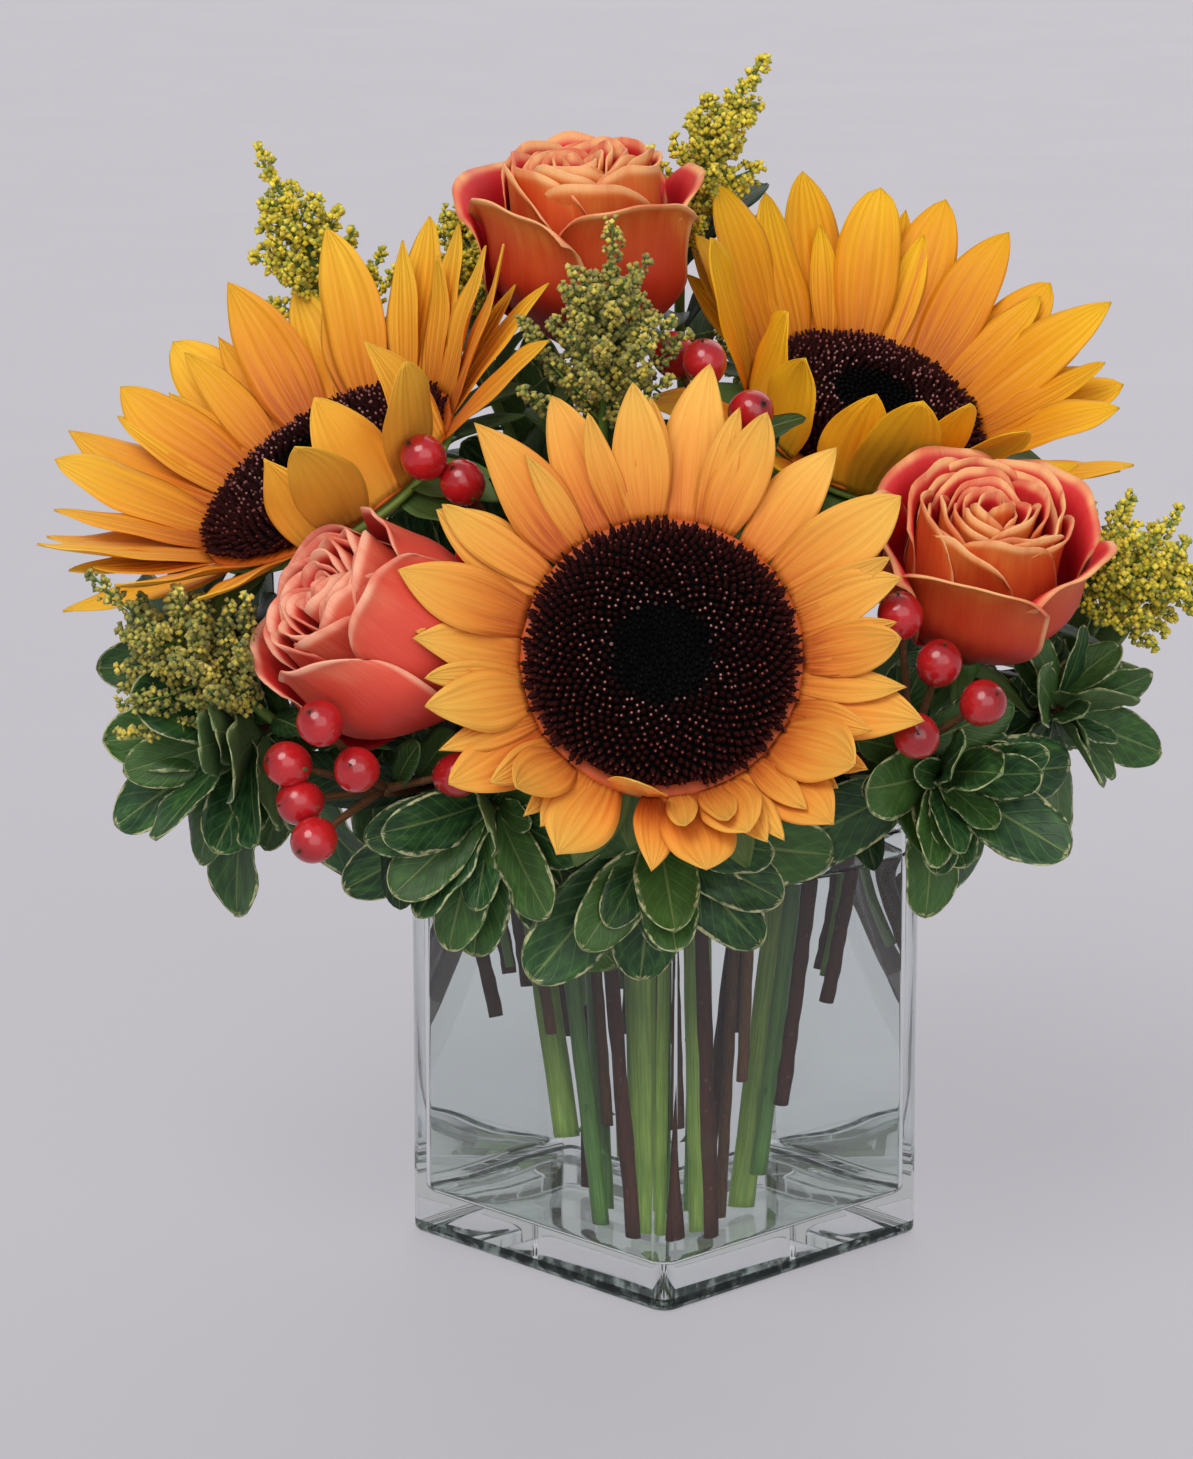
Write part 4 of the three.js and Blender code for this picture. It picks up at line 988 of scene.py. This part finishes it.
def build_sunflower_green(flower, axes, rng):
    """The stem, the receptacle and the bracts behind the petals."""
    name, centre, aim, disc = flower.name, flower.place, flower.aim, flower.disc
    shape = Shape()
    rim = disc + RING_WIDTH - 1
    profile = [
        (0, -17), (4.8, -16), (6.2, -13), (0.3 * disc, -11.2), (0.5 * disc, -9.6), (0.74 * disc, -7.4),
        (0.9 * rim, -4), (rim - 0.2, -1.8), (rim, -0.6), (rim - 0.8, 0), (0, 0),
    ]

    def ribs(a, h):
        return 0.25 * np.sin(a * 21) * np.clip(-h / 8, 0, 1)

    add_turned(shape, profile, axes, centre, 63, 0.4, ribs)
    line = stem_line(flower, centre - aim * 11, flower.neck)
    radii = np.linspace(4.3, 4.5, len(line))
    add_rod(shape, line, radii, 21, 0.3, lambda a, s: 0.035 * np.sin(a * 7) + 0.02 * np.sin(s * 0.21 + a))
    for i in range(BRACTS):
        radial = radial_of(axes, CIRCLE * (i + 0.5) / BRACTS)
        base = centre - aim * 1.6 + radial * (disc + RING_WIDTH - 3)
        leaf = built_leaf(
            f"{name}_stem", bract_outline, 2, [1, 0.8], [0, -18, -36, -54], base, radial, aim, 0, 24, 15, -0.3
        )
        if leaf:
            add_bract(shape, leaf, rng, 12, 9, 0.7, 0.12, 0.03)
    smaller_bracts = [(13, 0.93, 3.6, -26, 19), (10, 0.68, 8.2, -44, 15)]
    for ring, (count, share, back, tilt, length) in enumerate(smaller_bracts):
        for i in range(count):
            radial = radial_of(axes, CIRCLE * (i + 0.25 + 0.5 * ring + rng.uniform(-0.2, 0.2)) / count)
            base = centre - aim * back + radial * rim * share
            raised, size = tilt + rng.uniform(-8, 8), length * rng.uniform(0.8, 1.1)
            leaf = Leaf(base, radial, aim, raised, size, 9.5, 0.25)
            if is_free(leaf, bract_outline, f"{name}_stem"):
                add_bract(shape, leaf, rng, 9, 7, 0.7, 0.12, 0.03)
    # Short stiff hairs along the neck
    count = 280
    at, out, _ = points_on(line, rng, 18, len(line) - 1, count)
    places = line[at] + (line[at + 1] - line[at]) * rng.random((count, 1)) + out * 4.1
    sizes = rows_of(0.14, 0.14, rng.uniform(1, 2.2, count))
    hair = bead(3, [(0, -0.1), (1, 0), (0.5, 0.6), (0, 1)])
    add_beads(shape, hair, places, out + rng.normal(0, 0.2, (count, 3)), sizes, rng.random(count))
    shape.finish(f"{name}_stem_fine", [SUN_STEM, CALYX], f"{name}_stem", "sunflower_stem")


# Roses


def add_rose_petal(
    shape, axes, base, rng, azimuth, spread, radius, height, roll, close, rows, columns, ruffle
):
    """One petal of a rose: part of a cup whose free edge turns out and waves."""
    V, U = np.meshgrid(np.linspace(0, 1, rows) ** 0.9, np.linspace(-1, 1, columns), indexing="ij")
    opening = np.sin(np.pi / 2 * np.minimum(1, V / 0.55))
    turned_out = np.clip((V - 0.6) / 0.4, 0, 1)
    lip = np.clip((V - 0.88) / 0.12, 0, 1)
    angle = azimuth + U * spread * (0.25 + 0.75 * opening) * (1 - 0.22 * turned_out**2.5)
    phase = rng.uniform(0, CIRCLE, 4)
    wave = ruffle * turned_out**2
    r = 2 + (radius - 2) * opening + roll * turned_out**2 - close * turned_out + 1.6 * U * opening
    r = r + wave * (0.7 * np.sin(U * 4 + phase[0]) + 0.35 * np.sin(U * 9 + phase[1]))
    r = r + 0.9 * ruffle * lip**1.5 * (radius / 20)
    z = 1 + (height - 1) * (V - 0.1 * U * U * V - 0.07 * U**6 * V) - 0.45 * roll * turned_out**3
    z = z + wave * (0.8 * np.sin(U * 3 + phase[2]) + 0.4 * np.sin(U * 7 + phase[3])) * 0.8
    z = z - 0.5 * ruffle * lip**2
    local = np.stack([r * np.cos(angle), r * np.sin(angle), z], -1)
    add_sheet(shape, local @ axes.T + base, U, V, rng.random(), 0.62, 0.35)


def build_rose(flower):
    name, base, aim = flower.name, flower.place, flower.aim
    R, H, turn, shut = flower.radius, flower.height, flower.turn, 1 - flower.open
    axes = axes_along(aim)
    rng = np.random.default_rng(int(turn * 100))
    bloom, green = Shape(), Shape()
    core = [(0, 0), (4.6, 0), (0.27 * R, 5), (0.44 * R, 0.5 * H), (0.36 * R, 0.7 * H), (0.12 * R, 0.76 * H)]
    core += [(0, 0.77 * H)]
    add_turned(bloom, core, axes, base, 24, 0.5)
    # Count, radius, height, spread, roll and closing, of the layers within the solids' and of the solids' own
    inner_layers = [
        (2, 0.1, 0.94, 150, 0, 0.03), (3, 0.17, 0.955, 110, 0.02, 0.03), (3, 0.25, 0.965, 96, 0.03, 0.04),
        (3, 0.33, 0.965, 84, 0.03, 0.03), (4, 0.42, 0.965, 74, 0.04, 0.03), (4, 0.51, 0.96, 66, 0.05, 0.02),
        (4, 0.6, 0.955, 60, 0.05, 0.02),
    ]
    solid_layers = [
        (4, 0.68, 0.95, 52, 0, 0.06 + 0.2 * shut),
        (5, 0.9, 0.88 + 0.08 * shut, 43, 0.16 * (1 - shut), 0.3 * shut),
    ]
    for index, (count, radius, height, spread, roll, close) in enumerate(inner_layers):
        for i in range(count):
            azimuth = turn + index * 1.9 + CIRCLE * i / count + rng.uniform(-0.15, 0.15)
            add_rose_petal(
                bloom, axes, base, rng, azimuth, spread * rng.uniform(0.85, 1.1) * DEGREE, R * radius + 1.5,
                H * (height + rng.uniform(-0.05, 0.02)), R * roll, R * (close + 0.3 * shut * radius), 11, 17,
                rng.uniform(0.7, 1.1),
            )
    for count, radius, height, spread, roll, close in solid_layers:
        for i in range(count):
            azimuth = turn + radius * 4 + CIRCLE * i / count
            add_rose_petal(
                bloom, axes, base, rng, azimuth, (spread + 5) * DEGREE, R * radius, H * height, R * roll,
                R * close, 18, 25, 1,
            )
    petal_finish = rose_finish(f"{name}_petal", shut / 0.6)
    bloom.finish(f"{name}_bloom_fine", [petal_finish], f"{name}_bloom", "rose_petal")

    hip = [(0, -8.6), (2.6, -8), (4, -6.6), (4.9, -4.2), (4.6, -1.6), (4.3, -0.5), (0, -0.4)]
    add_turned(green, hip, axes, base, 20, 0.6)
    line = stem_line(flower, base - aim * 7, flower.neck)
    add_rod(green, line, 2.8, 14, 0.2, lambda a, s: 0.03 * np.sin(a * 5) + 0.03 * np.sin(s * 0.3))
    for i in range(SEPALS):
        radial = radial_of(axes, turn + CIRCLE * i / SEPALS)
        root = base - aim * 3.5 + radial * 3
        leaf = built_leaf(
            f"{name}_stem", bract_outline, 1, [1, 0.8], [0, -20, -40, -60],
            root, radial, aim, -15, 20, 6, -0.5,
        )
        if leaf:
            add_bract(green, leaf, rng, 12, 7, 0.65, 0.14, 0.05)
    thorns = 12
    at, out, along = points_on(line, rng, 2, len(line) - 8, thorns)
    thorn = bead(6, [(0, -0.15), (1, 0), (0.6, 0.25), (0.28, 0.6), (0, 1)])
    sizes = rows_of(0.7, 1.2, rng.uniform(2.2, 3.2, thorns))
    add_beads(green, thorn, line[at] + out * 2.6, out - 0.35 * along, sizes, rng.random(thorns))
    green.finish(f"{name}_stem_fine", [ROSE_STEM, CALYX], f"{name}_stem", "rose_stem")


# Hypericum


def build_hypericum(item):
    name, head, aim = item.name, item.place, item.aim
    rng = np.random.default_rng(len(name) * 31 + len(item.berries))
    berries, stalks = Shape(), Shape()
    line = stem_line(item, head, 18)
    add_rod(stalks, line, 1.9, 10, rng.random(), lambda a, s: 0.06 * np.sin(s * 0.5 + a))
    turns = np.linspace(0.12, math.pi - 0.12, 17)
    side = [(math.sin(t) * (1 - 0.07 * math.cos(t)), -math.cos(t)) for t in turns]
    profile = [(r * BERRY_RADIUS, z * BERRY_LONG) for r, z in [(0, -1), *side, (0, 1)]]

    def lobes(a, h):
        return 0.12 * np.cos(a * 3) * (1 - (h / BERRY_LONG) ** 2)

    t = np.linspace(0, 1, 9)[:, None]
    for place in item.berries:
        place = vec(*place)
        away = unit(place - head)
        axes = axes_along(away, rng.uniform(0, 6))
        add_turned(berries, profile, axes, place, 30, rng.random(), lobes)
        tip = place + away * (BERRY_LONG - 0.2)
        for k in range(3):
            way = away + 0.5 * radial_of(axes, k * 2.1)
            add_rod(stalks, [tip - away * 0.4, tip + way * 0.6, tip + way * 1.1], [0.24, 0.17, 0.07], 5, 0.9)
        start = head - aim * 1.5
        middle = (start + place) / 2 + aim * 1.2
        bottom = place - away * (BERRY_LONG - 0.6)
        stalk = start * (1 - t) ** 2 + middle * 2 * t * (1 - t) + bottom * t * t
        add_rod(stalks, stalk, np.linspace(1.25, 1, 9), 8, rng.random())
        for k in range(5):
            radial = radial_of(axes, CIRCLE * (k + rng.uniform(-0.1, 0.1)) / 5)
            foot = place - away * (BERRY_LONG - 0.2) + radial * 0.7
            leaf = Leaf(foot, radial, away, 22, 7 * rng.uniform(0.85, 1.1), 4, 0.9)
            add_bract(stalks, leaf, rng, 7, 5, 0.5, 0.1)
    # Leaves in pairs down the stem, each pair across the one above it
    for pair in range(6):
        base, way = down_stem(line, 4 + 8.5 * pair)
        for side in range(2):
            for attempt in range(12):
                azimuth = math.pi * (pair / 2 + side) + rng.uniform(-0.3, 0.3) * (1 + 0.4 * attempt)
                size = rng.uniform(24, 33) * (1 - 0.035 * attempt)
                radial = radial_of(axes_along(way), azimuth)
                tilt, bend = rng.uniform(10, 50), rng.uniform(-0.5, 0.1)
                leaf = Leaf(base + radial, radial, way, tilt, size, 0.42 * size, bend)
                if grow(stalks, leaf, leaf_outline, name, rng, 12, 7, 2):
                    break
    berries.finish(f"{name}_berries", [BERRY], name, "berry")
    stalks.finish(f"{name}_stalks", [BERRY_STEM, CALYX, BERRY_LEAF], name, "rose_stem")


# Goldenrod


def build_goldenrod(item):
    name, head, length, width = item.name, item.place, item.length, item.width
    rng, draw = np.random.default_rng(item.seed), draws(item.seed)
    stalks, florets = Shape(), Shape()

    def spine(t):
        return head + item.aim * length * t + vec(*item.bow) * length * t * t * 0.5

    def axes_at(t):
        return axes_along(unit(spine(t + 0.01) - spine(t)))

    stem = stem_line(item, head, 30)
    line = np.concatenate([stem, [spine(t) for t in np.linspace(0.05, 0.97, 14)]])
    radii = np.interp(np.arange(len(line)), [0, len(line) - 15, len(line) - 1], [1.5, 1.45, 0.5])
    add_rod(stalks, line, radii, 8, rng.random(), lambda a, s: 0.05 * np.sin(a * 4))
    # The solid's twigs, and more between them
    twigs = []
    extra = 34
    for i in range(TWIGS + 1):
        t = i / TWIGS
        start = spine(0.08 + 0.88 * t)
        azimuth = i * GOLDEN_ANGLE + 0.5 * draw()
        reach = width * (1.05 - 0.7 * t) * (0.85 + 0.3 * draw())
        way = vec(0, 0, 2) if i == TWIGS else vec(math.cos(azimuth), math.sin(azimuth), 0.75)
        for share in (1, 0.75, 0.5):
            end = start + axes_at(t) @ (way * reach * share)
            span = end - start
            if hits(name, [start + span * (1 + 1 / np.linalg.norm(span))]):
                twigs.append((start, end, 1))
                break
    for i in range(extra):
        t = (i + 0.5) / extra
        start = spine(0.02 + 0.92 * t)
        azimuth = 1.3 + i * GOLDEN_ANGLE + rng.uniform(-0.3, 0.3)
        reach = width * (1 - 0.62 * t) * rng.uniform(0.6, 1)
        way = axes_at(t) @ vec(math.cos(azimuth), math.sin(azimuth), rng.uniform(0.5, 1))
        twig = Leaf(start, unit(way), vec(0.1, 0.2, 1), 0, reach * np.linalg.norm(way), 4, 0)
        if is_free(twig, np.ones_like, name):
            twigs.append((start, start + way * reach, 0.85))
    # Narrow leaves up the stem below the plume
    for i in range(9):
        base, way = down_stem(stem, 3 + 5.5 * i)
        for attempt in range(10):
            size = rng.uniform(28, 42) * (1 - 0.035 * attempt)
            azimuth = i * GOLDEN_ANGLE + rng.uniform(-0.3, 0.3) * (1 + 0.5 * attempt)
            radial = radial_of(axes_along(way), azimuth)
            tilt, bend = rng.uniform(15, 60), rng.uniform(-0.7, 0.1)
            leaf = Leaf(base + radial * 0.8, radial, way, tilt, size, 0.24 * size, bend)
            if grow(stalks, leaf, leaf_outline, name, rng, 11, 5, 1):
                break
    places, ways, sizes = [], [], []
    t = np.linspace(0, 1, 7)[:, None]
    for start, end, full in twigs:
        span = end - start
        long = np.linalg.norm(span)
        sag = vec(0, 0, -0.1 * long)
        twig = start + t * span + sag * (t * (1 - t) * 4) * 0.5
        add_rod(stalks, twig, np.linspace(0.5, 0.28, 7), 5, rng.random())
        many = int((18 + 3.1 * long) * full * item.full)
        s = rng.uniform(0.14, 1.03, many)[:, None] ** 0.9
        around = rng.uniform(0, CIRCLE, many)[:, None]
        x, y, z = axes_along(span / long).T
        swell = full * (1.4 + 2.3 * np.abs(np.sin(s * math.pi * 2.1)) * (1.15 - 0.5 * s))
        out = np.cos(around) * x + np.sin(around) * y
        centre = start + s * span + sag * (s * (1 - s) * 2)
        places.append(centre + out * (swell * rng.uniform(0.35, 1, many)[:, None]))
        ways.append(out + 0.7 * span / long + vec(0, 0, 0.35))
        sizes.append(rng.uniform(0.6, 1.05, many))
    places, ways, sizes = np.concatenate(places), np.concatenate(ways), np.concatenate(sizes)
    floret = bead(4, [(0, -1.2), (0.55, -0.6), (0.95, 0.8), (0, 0.9)])
    add_beads(florets, floret, places, ways, sizes[:, None], rng.random(len(places)))
    # Lit plumes take the florets with painted light, the others those with painted shade
    florets.finish(f"{name}_florets", [PAINTED_LIT_GOLD if item.sunny else GOLD], name, "goldenrod")
    stalks.finish(f"{name}_stalks", [GOLD_STEM, BERRY_LEAF], name, "sunflower_stem")


# Pittosporum


def build_pittosporum(item):
    name, head, aim, fan, length = item.name, item.place, item.aim, item.fan, item.length
    rng, draw = np.random.default_rng(item.seed), draws(item.seed)
    axes = axes_along(aim)
    leaves, wood = Shape(), Shape()
    plain = blade_outline(0.62)
    is_in_front = head[1] < 0
    for i in range(item.leaves):
        share = i / (item.leaves - 1)
        radial = radial_of(axes, (fan * ((i * GOLDEN_SHARE) % 1) - fan / 2 - 90) * DEGREE)
        size = length * (1.05 - 0.35 * share) * (0.9 + 0.2 * draw())
        base = head - aim * 9 * (1 - share) + radial * 1.2
        tilt = -12 + 70 * share**1.3 + 10 * (draw() - 0.5)
        leaf = built_leaf(
            name, leaf_outline, 3 if fan < 300 else 2, [1, 0.8, 0.6], [0, -15, 15, -32, 32, 50, -50],
            base, radial, aim, tilt, size, 0.46 * size, -0.5 + 0.5 * share,
        )
        if leaf:
            add_fine_leaf(leaves, leaf, rng)
            take(leaf, plain)
    line = stem_line(item, head, 22)
    # Leaves that reach given places
    attempts, widest, grid = (8, 21, (17, 11)) if is_in_front else (24, 16, (13, 9))
    for tip in item.tips:
        for attempt in range(attempts):
            base = head - aim * rng.uniform(0, 12)
            span = vec(*tip) - base
            facing = VIEWER + vec(0, 0, 0.5) + rng.normal(0, 0.35 + 0.05 * attempt, 3)
            size = np.linalg.norm(span) * (1 - 0.04 * (attempt % 8))
            leaf = Leaf(base, unit(span), facing, 0, size, min(0.46 * size, widest), rng.uniform(-0.3, 0))
            if grow(leaves, leaf, plain, name, rng, *grid):
                break
    # Smaller leaves at the tip and down the stem, wherever nothing is in their way
    added = 0
    for i in range(150):
        if i < 40:
            base, way, size = head + aim * rng.uniform(-4, 0.5), aim, length * rng.uniform(0.4, 0.8)
            tilt = rng.uniform(0, 65)
        else:
            at = int(rng.integers(19, len(line) - 3))
            base, way, size = line[at], unit(line[at + 1] - line[at]), length * rng.uniform(0.5, 0.95)
            tilt = rng.uniform(0, 45)
        radial = radial_of(axes_along(way), rng.uniform(0, CIRCLE))
        leaf = Leaf(base + radial * 1.2, radial, way, tilt, size, 0.44 * size, rng.uniform(-0.6, 0.1))
        is_high = leaf.point(0, 1, plain)[2] > head[2] - 0.75 * length
        if added < item.extra and is_high:
            added += grow(leaves, leaf, plain, name, rng, *((13, 9) if is_in_front else (12, 7)))

    def knots(a, s):
        rings = 0.1 * np.exp(-(((s % 17) - 8) ** 2) / 2.5)
        return 0.07 * np.sin(s * 0.8 + np.sin(a)) + rings + 0.04 * np.sin(3 * a + s * 0.3)

    add_rod(wood, line, np.linspace(2.5, 1.9, len(line)), 12, rng.random(), knots)
    leaves.finish(f"{name}_leaves", [LEAF], name, "pittosporum_leaf")
    wood.finish(f"{name}_wood", [BARK], name, "rose_stem")


# Vase and water

LIP, CURVE = 1.6, 2.2  # radii of the vase's rim and of the inner edge of its base
# Dark reflections are painted into the glass in these bands, at its foot and at the inner edge of its base
PAINTED_DARK_BANDS = [(0.05, 3.3), (VASE_BASE + 0.2, VASE_BASE + 0.9)]  # the heights at which its glass is dark


def square_ring(half, z, corner, steps):
    """Points round a square with rounded corners, its corners on the X and Y axes."""
    points = []
    inner = half - corner
    for k, (sx, sy) in enumerate([(1, 1), (-1, 1), (-1, -1), (1, -1)]):
        for s in range(steps + 1):
            angle = k * math.pi / 2 + s / steps * math.pi / 2
            points.append((sx * inner + corner * math.cos(angle), sy * inner + corner * math.sin(angle)))
    x, y = np.array(points).T
    return rows_of(math.sqrt(0.5) * (x - y), math.sqrt(0.5) * (x + y), z)


def arc(half, z, radius, start, count, turn=90):
    """Half-widths and heights round a middle, from a start and through a turn in degrees."""
    turns = np.linspace(start, start + turn, count) * DEGREE
    return [(half + radius * math.cos(t), z + radius * math.sin(t)) for t in turns]


def stacked(steps, *courses):
    """A closed solid of square rings. A course is the radius of their corners, and their half-widths and
    heights."""
    rings = [square_ring(half, z, corner, steps) for corner, pairs in courses for half, z in pairs]
    ends = [rings[0].mean(0), rings[-1].mean(0)]
    shape = Shape()
    shape.add(np.concatenate([*rings, ends]), (0, 0, 0.5), *rod_faces(len(rings), len(rings[0])))
    return shape


def build_vase():
    half, inner = VASE_SIDE / 2, VASE_SIDE / 2 - VASE_WALL
    outside = arc(half - VASE_FOOT, VASE_FOOT, VASE_FOOT, -90, 7)
    outside += [(half, z) for z in (2.6, 3.7, 8, 20, 60, 100)] + arc(half - LIP, VASE_HEIGHT - LIP, LIP, 0, 6)
    inside = [(inner, z) for z in (100, 60, 20)] + arc(inner - CURVE, VASE_BASE + CURVE, CURVE, 0, 7, -90)
    shape = stacked(
        10, (VASE_CORNER - 1, [(half - VASE_FOOT - 3, 0)]), (VASE_CORNER, outside),
        (3.2, arc(inner + LIP, VASE_HEIGHT - LIP, LIP, 90, 6)), (3, inside + [(inner - 8, VASE_BASE)]),
    )
    glass = clear_finish("clear_glass", 1.5, (248, 251, 250), 16, 0.0005)
    # The edge finish carries painted dark reflections over the thick glass's own green
    edge = clear_finish("glass_edge", 1.5, (134, 154, 144), 16, 0.0005, (10, 18, 15))
    piece = shape.finish("vase_glass", [glass, edge], "vase", "vase")
    # Faces in the dark bands take the finish with painted dark reflections
    for face in piece.data.polygons:
        if any(low < face.center.z / MM < high for low, high in PAINTED_DARK_BANDS):
            face.material_index = 1


def build_water():
    # It wets the glass: its sides lie just inside the walls, so that no air shows between
    wet = 0.2
    inner, floor = VASE_SIDE / 2 - VASE_WALL + wet, VASE_BASE - wet
    pairs = [(inner - 8, floor)] + arc(inner - CURVE, floor + CURVE, CURVE, -90, 6)
    pairs += [(inner, z) for z in (30, 60, WATER_LEVEL - 1.2)]
    meniscus = ((0, 0), (0.5, 0.35), (0.85, 1.1), (1, 2.4), (1.05, 6))
    pairs += [(inner - inset, WATER_LEVEL - dip) for dip, inset in meniscus]
    water = clear_finish("clear_water", 1.33, (252, 253, 253), 24, 0.0003)
    stacked(8, (2.6, pairs)).finish("vase_water", [water], "water", "water")


# Stage

FOCAL_LENGTH, PHOTO_HEIGHT = 5456, 1459  # in pixels of the photo
FLOOR_REACH, FLOOR_CELLS = 60, 12  # metres from its middle to its sides, and cells along a side


def add_sun(name, way, strength, spread, tint):
    """A wide, far lamp that shines from the way given, evenly over the whole floor. The glass doesn't show
    it, or its base burns out."""
    data = bpy.data.lights.new(name, "SUN")
    data.energy = strength
    data.angle = spread * DEGREE
    data.color = tint
    lamp = linked(name, data)
    lamp.rotation_euler = Vector(way).to_track_quat("Z", "Y").to_euler()
    lamp.visible_transmission = False


def build_stage():
    scene = bpy.context.scene
    mesh = bpy.data.meshes.new("floor")
    line = np.linspace(-FLOOR_REACH, FLOOR_REACH, FLOOR_CELLS + 1)
    quads = grid_quads(len(line), len(line))
    mesh.from_pydata(rows_of(*np.meshgrid(line, line), 0).tolist(), [], quads.tolist())
    mesh.materials.append(floor_finish())
    floor = linked("floor", mesh)

    world = bpy.data.worlds.new("studio")
    world.use_nodes = True
    scene.world = world
    background = world.node_tree.nodes["Background"]
    background.inputs["Color"].default_value = (0.82, 0.81, 0.84, 1)
    background.inputs["Strength"].default_value = 0.5
    add_sun("key", (-0.4, -0.8, 1), 1.65, 36, (1, 0.99, 0.97))
    add_sun("fill", (0.3, -1, 0.3), 1.15, 60, (0.98, 0.98, 1))
    add_sun("back", (0.3, 1, 0.8), 0.75, 60, (0.98, 0.98, 1))

    data = bpy.data.cameras.new("camera")
    data.sensor_fit = "AUTO"
    data.sensor_width = 36
    data.lens = data.sensor_width * FOCAL_LENGTH / PHOTO_HEIGHT
    data.clip_start = 0.05
    data.clip_end = FLOOR_REACH
    camera = linked("camera", data)
    camera.location = (0, -1.4592, 0.4919)
    target = Vector((-0.019, 0, 0.1443))
    camera.rotation_euler = (target - camera.location).to_track_quat("-Z", "Y").to_euler()
    scene.camera = camera
    scene.view_settings.view_transform = "Standard"
    scene.cycles.use_denoising = True
    scene.cycles.max_bounces = scene.cycles.transmission_bounces = scene.cycles.glossy_bounces = 28
    scene.cycles.transparent_max_bounces = 16


for build, items in (
    (build_sunflower, SUNFLOWERS),
    (build_rose, ROSES),
    (build_hypericum, HYPERICUM),
    (build_goldenrod, GOLDENROD),
    (build_pittosporum, PITTOSPORUM),
):
    for item in items:
        build(item)
build_vase()
build_water()
build_stage()
